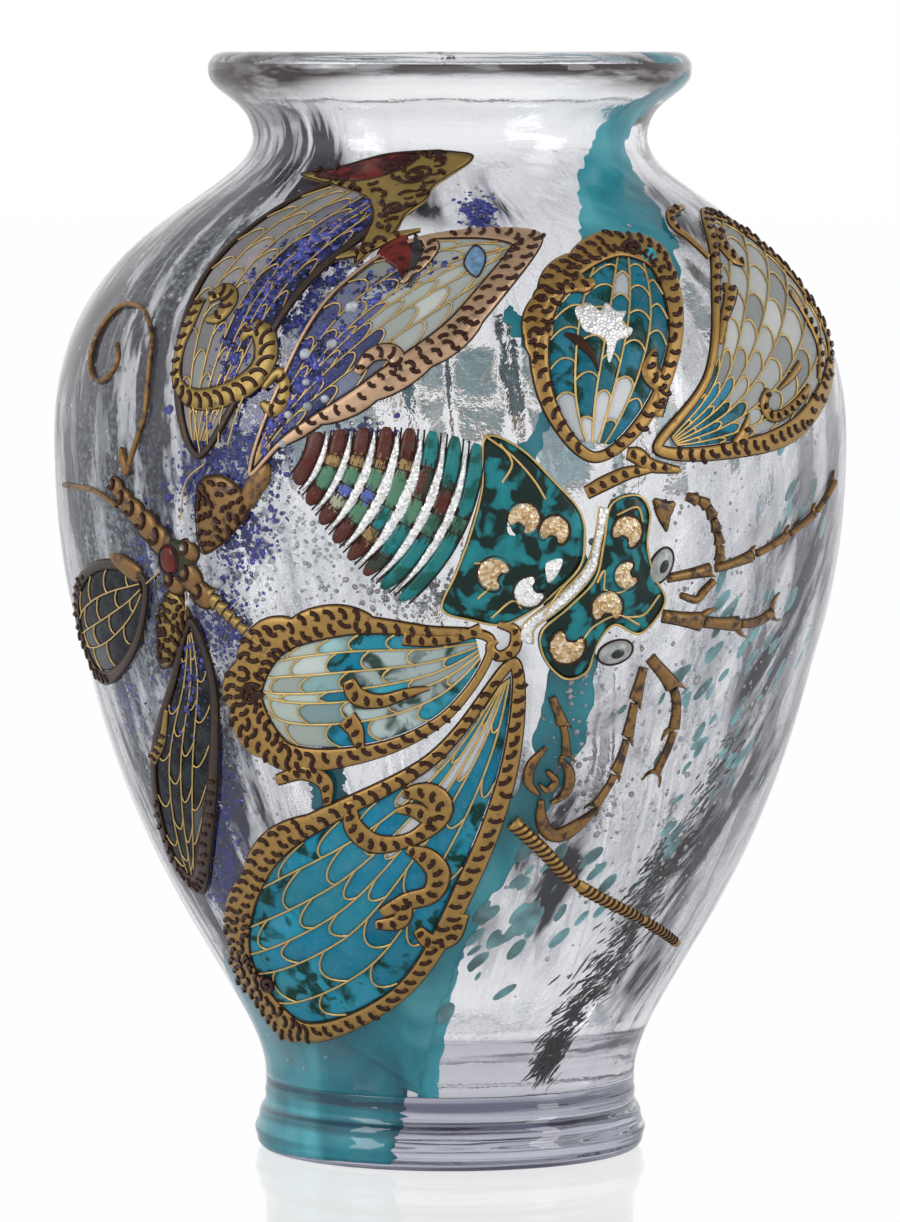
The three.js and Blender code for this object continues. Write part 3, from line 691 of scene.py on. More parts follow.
def strewn(name, seed, count, patches, grains, depths, shaped, finish, roundness=1):
    """Grains lying every way in the wall. grains: spread, scale and least size. depths: from, by."""
    turn, height, pick = scattered(seed, count, patches)
    out, along = wall_frame(turn, height, pick.uniform(0, 180, count))
    size = pick.gamma(*grains[:2], count) + grains[2]
    at = in_glass(turn, height, depths[0] + pick.uniform(0, depths[1], count))
    stones(name, at, out, along, np.column_stack(shaped(size)), finish, roundness)


# Powdered and crushed blue, and flakes of silver mica.
strewn("blue_granules", 6, 6500, blue_patches, (2.0, 0.11, 0.1), (1.6, 1.6),
       lambda size: [size * 1.3, size, size * 0.6],
       plain_finish("crushed blue glass", (0.035, 0.055, 0.42), 0.25, glow=0.35))
strewn("mica_flakes", 9, 3600, crackle_patches + [(50, 110, 30, 60, 2.0), (-60, 120, 20, 70, 2.0)],
       (2.0, 0.12, 0.1), (1.6, 2.6), lambda size: [size * 1.2, size, np.full(len(size), 0.05)],
       plain_finish("silver mica", (0.80, 0.81, 0.83), 0.3, metallic=0.2, glow=0.5))


def air():
    made, add = nodes_of("air in the glass")
    uneven = ranged(add, noise(add, 300.0), 0.0, 1.0, 0.0, 0.04)
    return surfaced(made, add, (1, 1, 1, 1), {"Roughness": uneven, "IOR": 0.667, "Transmission Weight": 1.0})


strewn("air_bubbles", 12, 320, blue_patches * 3 + crackle_patches[3:5], (2.2, 0.16, 0.15), (1.9, 1.5),
       lambda size: [size, size, size * 0.8], air(), 3)

# ---- The large moth ----
# A moth in relief on the front, its head down to the right and its four wings spread. The body and wings
# are thick enamel laid on in cells, edged and veined with gilded lines, and fired on to the glass.

STEP_AROUND = 2 * math.pi * RINGS["belly"][0] / 544
BELOW, ABOVE = 148.5, 82.7
chart_end = int(np.argmin(np.abs(body_line[:, 1] - RINGS["neck"][1])))
belly_length = line_length[belly_index]
neck_length = line_length[chart_end]
SINK = -0.15


def on_wall(turn, across, rise, lift):
    """Points on the vase: steps across and up from the belly line, and millimetres off the glass."""
    across, rise, lift = np.broadcast_arrays(np.asarray(across, float), rise, lift)
    length = belly_length + rise * np.where(rise < 0, belly_length / BELOW,
                                            (neck_length - belly_length) / ABOVE)
    radius, height, rising, leaning = (np.interp(length, line_length[:chart_end + 1], column[:chart_end + 1])
                                       for column in (body_line[:, 0], body_line[:, 1],
                                                      line_along[:, 1], line_along[:, 0]))
    angle = math.radians(turn) + across * STEP_AROUND / radius
    radius = radius + rising * lift
    return np.stack([radius * np.sin(angle), -radius * np.cos(angle), height - leaning * lift], -1)


def wall_directions(turn, across, rise, heading):
    """Outward directions, and directions at a heading in degrees from level, at points on the vase."""
    here = on_wall(turn, across, rise, 0.0)
    out = on_wall(turn, across, rise, 1.0) - here
    way = np.radians(heading)
    return out, unit(on_wall(turn, across + 0.1 * np.cos(way), rise + 0.1 * np.sin(way), 0.0) - here)


def laid(turn, place, lift):
    """Points on the vase from places of across and rise."""
    return on_wall(turn, place[..., 0], place[..., 1], lift)


def smooth_between(a, b, c, d, u):
    """A smooth curve from b to c, with a and d on either side."""
    return 0.5 * (2 * b + (c - a) * u + (2 * a - 5 * b + 4 * c - d) * u**2 + (3 * b - a - 3 * c + d) * u**3)


def looped(points):
    """A smooth closed line through points, by share of the way round from the first."""
    points = np.asarray(points, float)
    n = len(points)

    def at(share):
        t = (np.asarray(share, float) % 1.0) * n
        k = np.floor(t).astype(int) % n
        return smooth_between(*(points[(k + j) % n] for j in (-1, 0, 1, 2)), (t - np.floor(t))[..., None])

    return at


def along_path(points, count):
    """Evenly spread stops on a smooth open line through points."""
    points = np.asarray(points, float)
    ends = np.vstack([2 * points[0] - points[1], points, 2 * points[-1] - points[-2]])
    t = np.linspace(0, len(points) - 1, max(8 * len(points), 60))
    k = np.minimum(t.astype(int), len(points) - 2)
    line = smooth_between(*(ends[k + j] for j in range(4)), (t - k)[:, None])
    far = travelled(line[:, :2])
    stops = np.linspace(0, far[-1], count)
    return np.column_stack([np.interp(stops, far, column) for column in line.T])


def wire_tree():
    """Turns a net of edges into round wire of one radius. A point's own thickness narrows or widens it."""
    tree, add, given = node_group("wire along edges", "GeometryNodeTree",
                                  {"Geometry": "Geometry", "Radius": "Float", "Sides": "Int",
                                   "Finish": "Material"},
                                  {"Geometry": "Geometry"})
    lines = add("GeometryNodeMeshToCurve", {"Mesh": given["Geometry"]})
    thick = add("GeometryNodeInputNamedAttribute", {"Name": "thick"}, data_type="FLOAT")
    sized = add("GeometryNodeSetCurveRadius", {"Curve": lines.outputs["Curve"],
                                               "Radius": thick.outputs["Attribute"]})
    section = add("GeometryNodeCurvePrimitiveCircle",
                  {"Resolution": given["Sides"], "Radius": given["Radius"]})
    round_wire = add("GeometryNodeCurveToMesh", {"Curve": sized.outputs["Curve"],
                                                 "Profile Curve": section.outputs["Curve"],
                                                 "Fill Caps": True})
    smooth = add("GeometryNodeSetShadeSmooth", {"Geometry": round_wire.outputs["Mesh"]})
    finished(add, smooth.outputs["Geometry"], given["Finish"])
    return tree


wire_along_edges = wire_tree()


def wires(name, lines, radius, finish, sides=6, stands_for=()):
    """Round wire along lines in millimetres. A line is its points, with or without their thicknesses."""
    points, edges, thick = [], [], []
    for line in lines:
        path, weight = line if isinstance(line, tuple) else (line, np.ones(len(line)))
        edges += [(len(points) + k, len(points) + k + 1) for k in range(len(path) - 1)]
        points += (np.asarray(path) * MM).tolist()
        thick += list(weight)
    guide = bpy.data.meshes.new(name + "_lines")
    guide.from_pydata(points, edges, [])
    layer = guide.attributes.new("thick", "FLOAT", "POINT")
    layer.data.foreach_set("value", np.asarray(thick, np.float32))
    inputs = {"Radius": radius * MM, "Sides": sides, "Finish": finish}
    return grown(name, guide, wire_along_edges, inputs, stands_for)


def worn_group():
    """Where thin gilding has rubbed: a mask in patches, finer towards its edges."""
    group, add, given = node_group("rubbed patches", "ShaderNodeTree",
                                   {"Patch size": "Float", "Amount": "Float"},
                                   {"Mask": "Float", "Height": "Float"})
    patches = noise(add, given["Patch size"], 5.0, Roughness=0.65)
    least = sums(add, "SUBTRACT", 1.0, given["Amount"])
    mask = ranged(add, patches, least, sums(add, "ADD", least, 0.12))
    add("NodeGroupOutput", {"Mask": mask, "Height": patches})
    return group


rubbed_patches = worn_group()


def gilding(name, gold, under, roughness, worn):
    """Matt fired gold over brown, with rubbed places where the brown shows."""
    made, add = nodes_of(name)
    wear = add("ShaderNodeGroup", {"Patch size": 420.0, "Amount": worn}, node_tree=rubbed_patches).outputs
    shade = ramped(add, wear["Height"], (0.30, [c * 0.72 for c in gold]), (0.65, gold))
    return surfaced(made, add, blended(add, wear["Mask"], shade, (*under, 1)),
                    {"Metallic": ranged(add, wear["Mask"], 0.0, 1.0, 0.62, 0.1), "Roughness": roughness,
                     "Normal": bumped(add, wear["Height"], 0.35, 0.0002)})


border_gold = gilding("fired gold", (0.43, 0.255, 0.075), (0.13, 0.055, 0.022), 0.40, 0.42)
wire_gold = gilding("gold of the veins", (0.66, 0.46, 0.17), (0.25, 0.13, 0.05), 0.35, 0.30)


def painted_line(name, colour, roughness):
    """Thin vitreous paint, a little thicker here and there."""
    made, add = nodes_of(name)
    wear = add("ShaderNodeGroup", {"Patch size": 600.0, "Amount": 0.42}, node_tree=rubbed_patches).outputs
    shade = blended(add, wear["Mask"], (*colour, 1), (*(min(1, c * 1.9 + 0.01) for c in colour), 1))
    return surfaced(made, add, shade, {"Roughness": roughness, "Specular IOR Level": 0.2})


dark_line = painted_line("dark brown outline", (0.035, 0.016, 0.010), 0.35)
brown_spots = painted_line("brown enamel dots", (0.036, 0.012, 0.007), 0.25)


def enamel_finish(name, milk, specks, glow_share):
    """Glossy translucent enamel. Colours by cell come from the piece, blotches and pale grains from here."""
    made, add = nodes_of(name)
    own = add("ShaderNodeAttribute", attribute_name="cells").outputs
    cloud = noise(add, 260.0, 3.0)
    milky = blended(add, ranged(add, cloud, 0.35, 0.75, 0.0, milk), own["Color"], (0.62, 0.72, 0.72, 1))
    stain = ranged(add, noise(add, 190.0, 2.0, Distortion=0.6), 0.50, 0.60)
    stained = blended(add, sums(add, "MULTIPLY", stain, own["Alpha"]), milky, (0.006, 0.075, 0.045, 1))
    grain = ranged(add, noise(add, 1500.0), 0.60, 0.72, 0.0, specks)
    return surfaced(made, add, blended(add, grain, stained, (0.70, 0.74, 0.74, 1)),
                    {"Roughness": 0.30, "Specular IOR Level": 0.25, "Coat Weight": 0.2,
                     "Coat Roughness": 0.05, "Normal": bumped(add, cloud, 0.5, 0.0003)}, glow_share)


cell_enamel = enamel_finish("cell enamel", 0.14, 0.20, 0.6)
GAP = 0.3


class Wing:
    """One wing: a gilded border round a field of enamel cells, between the sides that meet at its root.

    outline has points of across, rise and border width, from the root up the left side. corners are the
    shares of the way round where the left side and the right side end at the outer edge.
    """

    def __init__(self, name, turn, outline, corners, lobes=()):
        self.name, self.turn, self.corners = name, turn, corners
        self.line = looped(outline)
        self.lobes = lobes

    def edge(self, share):
        share = np.asarray(share, float)
        here = self.line(share)[..., :2]
        push = np.zeros(share.shape)
        for first, last, count, reach in self.lobes:
            part = np.clip((share - first) / (last - first), 0, 1)
            push = push + reach * np.abs(np.sin(np.pi * part * count)) ** 0.7 * (part > 0) * (part < 1)
        return here - self.inwards(share) * push[..., None]

    def inwards(self, share):
        share = np.asarray(share, float)
        ahead = unit(self.line(share + 0.01)[..., :2] - self.line(share - 0.01)[..., :2])
        return np.stack([ahead[..., 1], -ahead[..., 0]], -1)

    def width(self, share):
        return self.line(share)[..., 2]

    def within(self, share, inset):
        return self.line(share)[..., :2] + self.inwards(share) * np.asarray(inset)[..., None]

    def field(self, c, t, extra=GAP, blunt=0.045):
        """The place at share c from the left to the right side and t from the root to the outer edge."""
        c, t = np.broadcast_arrays(np.asarray(c, float), t)
        left_end, right_end = self.corners

        def inside(share):
            return self.within(share, self.width(share) + extra)

        left = inside(blunt + (left_end - blunt) * t)
        right = inside(1 - blunt + (right_end - 1 + blunt) * t)
        outer = inside(left_end + (right_end - left_end) * c)
        root_left, root_right = inside(np.array(blunt)), inside(np.array(1 - blunt))
        tip_left, tip_right = inside(np.array(left_end)), inside(np.array(right_end))
        c, t = c[..., None], t[..., None]
        root = (1 - c) * root_left + c * root_right
        return ((1 - c) * left + c * right + (1 - t) * root + t * outer
                - (1 - c) * (1 - t) * root_left - c * (1 - t) * root_right
                - (1 - c) * t * tip_left - c * t * tip_right)

    def border(self, finish, slot, stands_for, count=260, height=1.1):
        share = np.arange(count) / count
        outer = self.edge(share)
        inner = self.within(share, self.width(share))
        steps = [(0, SINK), (0, 0.62), (0.05, 0.92), (0.28, 1.0), (0.72, 1.0), (0.95, 0.92), (1, 0.62),
                 (1, SINK)]
        rows = [on_wall(self.turn, *(outer + (inner - outer) * s).T, SINK if h == SINK else height * h)
                for s, h in steps]
        points = np.stack(rows, 1)
        sections = len(steps)
        index = np.arange(count * sections).reshape(count, sections)
        after_row, after_column = np.roll(index, -1, 0), np.roll(index, -1, 1)
        faces = np.stack([index, after_column, np.roll(after_column, -1, 0), after_row], -1).reshape(-1, 4)
        points = points.reshape(-1, 3)
        return piece(self.name + "_border", points, outwards(points, faces.tolist()), finish, slot,
                     stands_for)

    def enamel(self, cells, finish, slot, stands_for, grid=(112, 112), height=0.62, pillow=0.34):
        """cells gives a colour with its blotching, and how near a cell's middle it is, at places c and t."""
        c, t = np.meshgrid(np.linspace(0, 1, grid[0]), np.linspace(0, 1, grid[1]))
        place = self.field(c, t)
        colour, middle = cells(c, t)
        upper = laid(self.turn, place, height - pillow + pillow * middle)
        lower = laid(self.turn, place, SINK)
        points, faces = slab(upper, lower)
        tint = np.concatenate([colour.reshape(-1, 4)] * 2)
        return piece(self.name + "_enamel", points, faces, finish, slot, stands_for, tints={"cells": tint})

    def line_on(self, c, t, lift):
        return laid(self.turn, self.field(c, t), lift)

    def rim_lines(self, lift=0.25, outer=0.12, inner=0.05):
        share = np.linspace(0, 1, 241)
        lines = [laid(self.turn, self.edge(share) - self.inwards(share) * outer, lift)]
        if inner is not None:
            lines.append(laid(self.turn, self.within(share, self.width(share) + inner), 0.75))
        return lines


def brick_cells(columns, rows, colours, seed, bow=0.035):
    """Cells in courses from the root to the outer edge, with broken joints that bow outwards like scales.

    colours gives a colour and blotching for a cell's middle c and t.
    """
    columns, rows = np.asarray(columns, float), np.asarray(rows, float)

    def find(value, stops):
        k = np.clip(np.searchsorted(stops, value, side="right") - 1, 0, len(stops) - 2)
        return k, (value - stops[k]) / (stops[k + 1] - stops[k])

    def joint(k):
        return np.where(k % 2 == 0, 0.0, 0.5)

    def cells(c, t):
        course, first = find(c, columns)
        bowed = np.clip(t - bow * (1 - (2 * first - 1) ** 2) * np.minimum(1, 4 * t), 0, 1)
        place = np.interp(bowed, rows, np.arange(len(rows))) + joint(course)
        number = np.floor(place).astype(int)
        second = place - number
        pick = np.random.default_rng(seed).uniform(0, 1, (64, 64, 3))
        own = pick[course % 64, number % 64]
        middle = np.clip((number + 0.5 - joint(course)) / (len(rows) - 1), 0, 1)
        colour = colours((course + 0.5) / (len(columns) - 1), middle, own)
        shape = ((1 - np.abs(2 * first - 1) ** 3) * (1 - np.abs(2 * second - 1) ** 3)) ** 0.5
        edge = np.clip(shape * 1.6, 0, 1)[..., None]
        colour = np.concatenate([colour[..., :3] * (0.72 + 0.28 * edge), colour[..., 3:]], -1)
        return colour, shape

    def veins(wing, lift=0.62, points=60):
        """The gilded lines: whole ones along the courses and short ones across them."""
        lines = []
        far = np.linspace(0, 1, points)
        for value in columns[1:-1]:
            lines.append(wing.line_on(np.full(points, value), far, lift))
        across = np.linspace(0, 1, 9)
        for k in range(len(columns) - 1):
            for n in range(len(rows)):
                value = np.interp(n - (0.5 if k % 2 else 0.0), np.arange(len(rows)), rows)
                reach = bow * min(1, 4 * value)
                if value > 0.01 and value + reach < 0.99:
                    lines.append(wing.line_on(columns[k] + (columns[k + 1] - columns[k]) * across,
                                              value + reach * (1 - (2 * across - 1) ** 2), lift))
        return lines

    return cells, veins


LARGE = 12.7
TEAL, LIGHT_TEAL = (0.004, 0.38, 0.58), (0.07, 0.66, 0.78)
PALE, SILVER = (0.80, 0.88, 0.81), (0.84, 0.86, 0.87)


def mixed(first, second, share):
    share = np.asarray(share)[..., None]
    return np.asarray(first) * (1 - share) + np.asarray(second) * share


def with_blotches(colour, own, blotch):
    """Each cell a little lighter or darker than the next, with its share of dark blotches."""
    bright = 0.78 + 0.44 * own[..., :1]
    return np.concatenate([np.clip(colour * bright, 0, 1), np.asarray(blotch)[..., None]], -1)


def comma(turn, place, heading, size, lift, bend=105, weight=1.0):
    """A painted comma: a round head that thins along a bend."""
    t = np.linspace(0, 1, 7)
    angle = np.radians(heading + bend * (t - 0.5))
    arc_points = np.column_stack([np.cos(angle), np.sin(angle)]) * size * 0.62
    arc_points -= arc_points[3]
    return laid(turn, np.asarray(place) + arc_points, lift), weight * (1.35 - 1.15 * t**0.75)


def scroll(turn, place, radius, lift, heading, rounds=1.6, hand=1):
    """A painted scroll that winds in to its middle."""
    t = np.linspace(0, 1, 26)
    angle = np.radians(heading) + hand * t * rounds * 2 * np.pi
    reach = radius * (1 - 0.86 * t)
    points = np.asarray(place) + np.column_stack([np.cos(angle), np.sin(angle)]) * reach[:, None]
    return laid(turn, points, lift), 0.6 * (0.7 + 0.5 * t)


def border_commas(wing, spacing, seed, lift=1.02, size=2.5, narrowest=1.9):
    """Commas in one to three rows along a border, as wide as it allows."""
    shake = np.random.default_rng(seed)
    share = np.linspace(0.03, 0.97, 700)
    place = wing.edge(share)
    far = travelled(place)
    lines = []
    for stop in np.arange(spacing * 0.5, far[-1], spacing):
        here = float(np.interp(stop, far, share))
        width = float(wing.width(np.array(here))) + np.linalg.norm(wing.edge(here) - wing.line(here)[:2])
        if width < narrowest:
            continue
        rows = max(1, int(round(width / 3.4)))
        ahead = wing.line(here + 0.01)[:2] - wing.line(here - 0.01)[:2]
        heading = math.degrees(math.atan2(ahead[1], ahead[0]))
        for row in range(rows):
            into = (row + 0.5 + 0.12 * shake.normal()) / rows * width
            spot = wing.edge(np.array(here)) + wing.inwards(np.array(here)) * into
            turned_to = heading + 28 + (180 if row % 2 else 0) + shake.normal(0, 16)
            big = size * min(1.0, width / rows / 2.6) * shake.uniform(0.85, 1.15)
            lines.append(comma(wing.turn, spot, turned_to, big, lift, weight=big / size))
    return lines


def lower_wing_colours(c, t, own):
    colour = mixed(TEAL, LIGHT_TEAL, np.clip(own[..., 1] * 1.1 - 0.25 + 0.5 * (t > 0.5), 0, 1) * 0.55)
    clear = ((t < 0.42) & (c > 0.25) & (own[..., 2] > 0.45))
    colour = np.where(clear[..., None], np.asarray(SILVER), colour)
    blotch = np.where((t > 0.80) | (c < 0.22), 0.95, 0.12) * (own[..., 0] > 0.3)
    return with_blotches(colour, own, blotch * ~clear)


def left_wing_colours(c, t, own):
    outer = np.clip((t - 0.56) / 0.06, 0, 1)
    colour = mixed(mixed(TEAL, LIGHT_TEAL, own[..., 1]), PALE, outer)
    strips = (t < 0.48) & (own[..., 2] > 0.35)
    colour = np.where(strips[..., None], np.asarray((0.74, 0.84, 0.82)), colour)
    return with_blotches(colour, own, (1 - outer) * 0.9 * (own[..., 0] > 0.25))


def upper_wing_colours(c, t, own):
    colour = mixed((0.008, 0.23, 0.29), TEAL, own[..., 1] * 0.8)
    clear = ((t > 0.60) & (t < 0.84) & (c > 0.34) & (c < 0.62)) | ((t < 0.22) & (own[..., 2] > 0.5))
    colour = np.where(clear[..., None], np.asarray((0.84, 0.86, 0.87)), colour)
    return with_blotches(colour, own, 0.9 * ~clear * (own[..., 0] > 0.3))


def right_wing_colours(c, t, own):
    colour = mixed((0.58, 0.60, 0.59), (0.80, 0.81, 0.78), own[..., 1])
    near = np.clip((0.24 - t) / 0.06, 0, 1)
    colour = mixed(colour, TEAL, near)
    return with_blotches(colour, own, near * 0.8)


large_lower = Wing("large_moth_lower_wing", LARGE,
                   [(-5, -42, 2), (-2, -62, 3.4), (-8, -92, 4.4), (-21, -124, 3.8), (-46, -137, 5.5),
                    (-68, -117, 7.5), (-57, -86, 5.5), (-22, -64, 2.6)],
                   (0.50, 0.765), [(0.50, 0.79, 4, 2.0)])
large_left = Wing("large_moth_left_wing", LARGE,
                  [(-9, -38, 1.6), (-17, -55, 2), (-34, -65, 3.6), (-55, -67, 6.5), (-67, -52, 8.5),
                   (-59, -37, 7), (-42, -33, 4.4), (-24, -35, 2)],
                  (0.40, 0.66), [(0.40, 0.56, 2, 1.6), (0.56, 0.80, 2, 2.2)])
large_upper = Wing("large_moth_upper_wing", LARGE,
                   [(11, -1, 2), (0, 11, 3), (-1, 29, 4.4), (8, 44, 5.4), (22, 52, 7), (34, 45, 6.4),
                    (34, 26, 3.6), (25, 8, 3)],
                   (0.34, 0.66), [(0.20, 0.40, 2, 1.6), (0.40, 0.64, 2, 1.4)])
large_right = Wing("large_moth_right_wing", LARGE,
                   [(25, 1, 2), (39, 17, 1.6), (46, 40, 2.2), (56, 60, 4), (79, 46, 3.4), (96, 22, 3.8),
                    (74, 4, 5), (48, -1, 3.4)],
                   (0.375, 0.63))
gilded_spots, gilded_lines, dark_lines = [], [], []
for wing, colours, columns, rows, key in (
        (large_lower, lower_wing_colours, [0, .17, .34, .50, .66, .83, 1],
         [0, .26, .44, .58, .70, .84, 1], "lower"),
        (large_left, left_wing_colours, [0, .17, .34, .50, .66, .83, 1], [0, .30, .50, .66, .83, 1], "left"),
        (large_upper, upper_wing_colours, [0, .2, .4, .6, .8, 1], [0, .26, .44, .60, .74, .87, 1], "upper"),
        (large_right, right_wing_colours, [0, .15, .30, .44, .58, .72, .86, 1],
         [0, .16, .28, .40, .52, .64, .76, .88, 1], "right")):
    cells, veins = brick_cells(columns, rows, colours, 31 + len(rows))
    wing.enamel(cells, cell_enamel, "teal_enamel" if key != "right" else "grey_enamel",
                [f"large_moth_wing_{key}_field"])
    wing.border(border_gold, "gilding", [f"large_moth_wing_{key}_border"])
    gilded_lines += veins(wing)
    dark_lines += wing.rim_lines()
    gilded_spots += border_commas(wing, 3.1, 40 + len(columns))

# Curled ornaments of gold stand on the cells of the wings.


def beside(ahead):
    """Directions to the left of others, in a chart of the wall."""
    return np.stack([-ahead[..., 1], ahead[..., 0]], -1)


def leaf(turn, path, widths, lift, height, count=28, across=7):
    """A raised band along a path, as closed upper and lower grids. widths are its whole widths."""
    line = along_path(np.column_stack([path, np.broadcast_to(widths, len(path))]), count)
    side = beside(unit(np.gradient(line[:, :2], axis=0)))
    share = np.linspace(-0.5, 0.5, across)
    place = line[:, None, :2] + side[:, None] * (line[:, 2:] * share)[..., None]
    crown = (1 - (2 * np.abs(share)) ** 4) * np.minimum(1, line[:, 2:] / 1.2)
    upper = laid(turn, place, lift + height * (0.35 + 0.65 * crown))
    rim = [laid(turn, place[:, k], lift + height * 0.30) for k in (0, -1)]
    return slab(upper, laid(turn, place, lift + SINK)), rim


def curl_commas(turn, paths, ends, spacing, narrowest, lift, drawn):
    """Commas along the middle of curls. drawn gives a comma's size and weight for the curl's width."""
    lines = []
    for path, widths in paths:
        line = along_path(np.column_stack([path, np.broadcast_to(widths, len(path))]), 40)
        far = travelled(line[:, :2])
        for stop in np.arange(ends[0], far[-1] - ends[1], spacing):
            x, y, width = (np.interp(stop, far, column) for column in line.T)
            if width > narrowest:
                ahead = np.interp(stop + 0.5, far, line[:, 0]) - x, np.interp(stop + 0.5, far, line[:, 1]) - y
                size, weight = drawn(width)
                lines.append(comma(turn, (x, y), math.degrees(math.atan2(ahead[1], ahead[0])) + 25,
                                   size, lift, weight=weight))
    return lines


def leaves(turn, bands, lift, height):
    """Raised bands by path and widths: their shapes, and the lines along their rims."""
    made = [leaf(turn, path, widths, lift, height) for path, widths in bands]
    return [shape for shape, _ in made], [line for _, rim in made for line in rim]


def joined(shapes):
    """Several closed shapes as one set of points and faces."""
    points, faces = [], []
    for own_points, own_faces in shapes:
        faces += [tuple(int(i) + len(points) for i in f) for f in own_faces]
        points += own_points.tolist()
    return np.array(points), faces


curls = [
    ([(-37, -74), (-36, -80), (-31, -84), (-24, -83), (-19, -79), (-18, -75), (-21, -72), (-26, -72)],
     [2.2, 4.2, 4.6, 3.2, 4.6, 5.6, 5.0, 2.0]),
    ([(-19, -79), (-23, -76), (-27, -76)], [3.0, 3.4, 1.2]),
    ([(-24, -85), (-20, -87), (-17, -91), (-18, -96), (-23, -98), (-28, -101)],
     [2.0, 4.4, 5.0, 4.6, 4.4, 2.6]),
    ([(-23, -98), (-24, -103), (-29, -104)], [3.0, 4.0, 2.2]),
    ([(-20, -105), (-17, -108), (-13, -107), (-11, -101)], [2.2, 4.0, 4.4, 3.0]),
    ([(-42, -75), (-43, -70), (-48, -68), (-54, -70)], [2.0, 3.4, 3.4, 2.4]),
    ([(-39, -47), (-37, -50.5), (-32, -51.5), (-26, -49.5), (-22, -48.5)], [2.6, 4.0, 3.0, 2.0, 0.7]),
    ([(-39, -55.5), (-37, -58), (-36, -61), (-35, -63)], [4.4, 3.6, 2.4, 1.2]),
    ([(-28, -37.5), (-23, -38), (-17, -37.5), (-12, -35.5)], [3.2, 2.6, 2.0, 2.4]),
    ([(-8.5, -34.5), (-5, -36), (-5, -40), (-8, -41.5), (-10, -39.5), (-8.6, -38)],
     [1.4, 2.2, 2.6, 2.2, 1.8, 1.0]),
    ([(10, 36.5), (6, 36.5), (2.5, 34.5), (1.4, 31)], [1.6, 3.6, 4.4, 2.4]),
    ([(3.4, 26.6), (0.4, 27), (-1.2, 24), (-0.6, 20)], [3.0, 3.8, 3.4, 1.6]),
    ([(12, 44.5), (9.4, 41.5), (11, 37.6), (14, 38)], [3.0, 4.4, 4.4, 2.0]),
    ([(26, 22), (24.6, 17.5), (27, 14), (26, 8)], [1.4, 4.4, 4.0, 2.0]),
    ([(50.6, 36.2), (49.2, 33.2), (46, 28.4), (43.6, 23)], [4.6, 3.6, 2.2, 1.0]),
    ([(46, 60.4), (40.6, 58.6), (39, 54.4), (42.4, 49.8), (46.4, 44)], [1.4, 2.6, 2.2, 1.6, 1.2]),
    ([(56, 52), (53.4, 48.6), (55.4, 44), (58.6, 41.6)], [3.0, 4.6, 4.2, 1.4]),
    ([(57.6, 12.4), (55.6, 10), (57.4, 7.4), (61.6, 7.2), (68.3, 9.5), (74.4, 12.6)],
     [2.0, 2.6, 2.4, 2.2, 2.2, 1.4]),
    ([(71.4, 17.6), (66.6, 15), (61.4, 12.6)], [1.8, 1.6, 0.4]),
    ([(47.6, 1.2), (49.4, 4.4), (50.6, 8)], [5.0, 2.6, 0.4]),
    ([(76, 34), (84, 22), (80, 14)], [1.4, 2.8, 1.2]),
    ([(9.4, -7.4), (13.5, -5.4), (19, -3.4), (24, -3)], [2.6, 3.0, 2.6, 1.0]),
    ([(18.6, 0.6), (21, 0), (24, -2), (31, -3.2)], [2.4, 3.4, 2.8, 1.2]),
]
shapes, curl_rims = leaves(LARGE, curls, 0.5, 0.8)
piece("large_moth_gold_curls", *joined(shapes), border_gold, "gilding")
dark_lines += curl_rims
gilded_spots += curl_commas(LARGE, curls, (1.2, 0.6), 2.7, 1.9, 1.34,
                            lambda width: (min(2.0, width * 0.45), min(1.2, width / 3.2)))
gilded_spots += [scroll(LARGE, (-61, -51), 2.6, 1.1, 40), scroll(LARGE, (25, 47), 2.4, 1.1, 200, hand=-1),
                 scroll(LARGE, (-55, -122), 2.4, 1.1, 120)]

patch = [(8.9, 31.6), (12, 33), (14.4, 31.2), (16.1, 33), (18, 31.1), (20.4, 30.8), (19.3, 28.3),
         (21.4, 26.8), (20.2, 25), (17.7, 24.2), (16.7, 22.2), (15.4, 19.6), (14.8, 21), (14.8, 24.3),
         (11.9, 25.8), (10, 27.2)]
window = [(29, 47.2), (30.8, 45.9), (30.5, 43.7), (28.6, 42.9), (26.8, 44.9)]
wires("large_moth_gold_veins", gilded_lines, 0.26, wire_gold)
wires("large_moth_outlines", dark_lines, 0.20, dark_line, sides=5)
wires("large_moth_border_spots", gilded_spots, 0.60, brown_spots, sides=6)

# The moth's thorax and head are thick dark enamel, outlined in gold and set with crescents of foil. A band
# of silvery white grains lies between them like a collar.


def cushion(turn, outline, lift, height, crown, rings=14, count=120, middle=None, edge_height=0.45):
    """A raised shape inside a smooth closed outline, rounded at its edge and crowned in its middle."""
    line = looped(outline)(np.arange(count) / count)[:, :2]
    middle = line.mean(axis=0) if middle is None else np.asarray(middle, float)
    share = np.linspace(0, 1, rings + 1)[1:]
    place = middle + (line - middle) * share[:, None, None]
    rise = edge_height + (1 - edge_height) * np.clip((1 - share**7), 0, 1)
    top = height * rise + crown * (1 - share**2)
    upper = laid(turn, place, lift + top[:, None])
    foot_ring = laid(turn, line, lift + SINK)
    points = np.vstack([on_wall(turn, *middle, lift + height + crown)[None], upper.reshape(-1, 3), foot_ring,
                        on_wall(turn, *middle, lift + SINK)[None]])
    index = 1 + np.arange((rings + 1) * count).reshape(rings + 1, count)
    after = np.roll(index, -1, 1)
    faces = [(0, int(index[0, k]), int(after[0, k])) for k in range(count)]
    faces += np.stack([index[:-1], index[1:], after[1:], after[:-1]], -1).reshape(-1, 4).tolist()
    last = len(points) - 1
    faces += [(last, int(after[-1, k]), int(index[-1, k])) for k in range(count)]
    return points, outwards(points, faces)


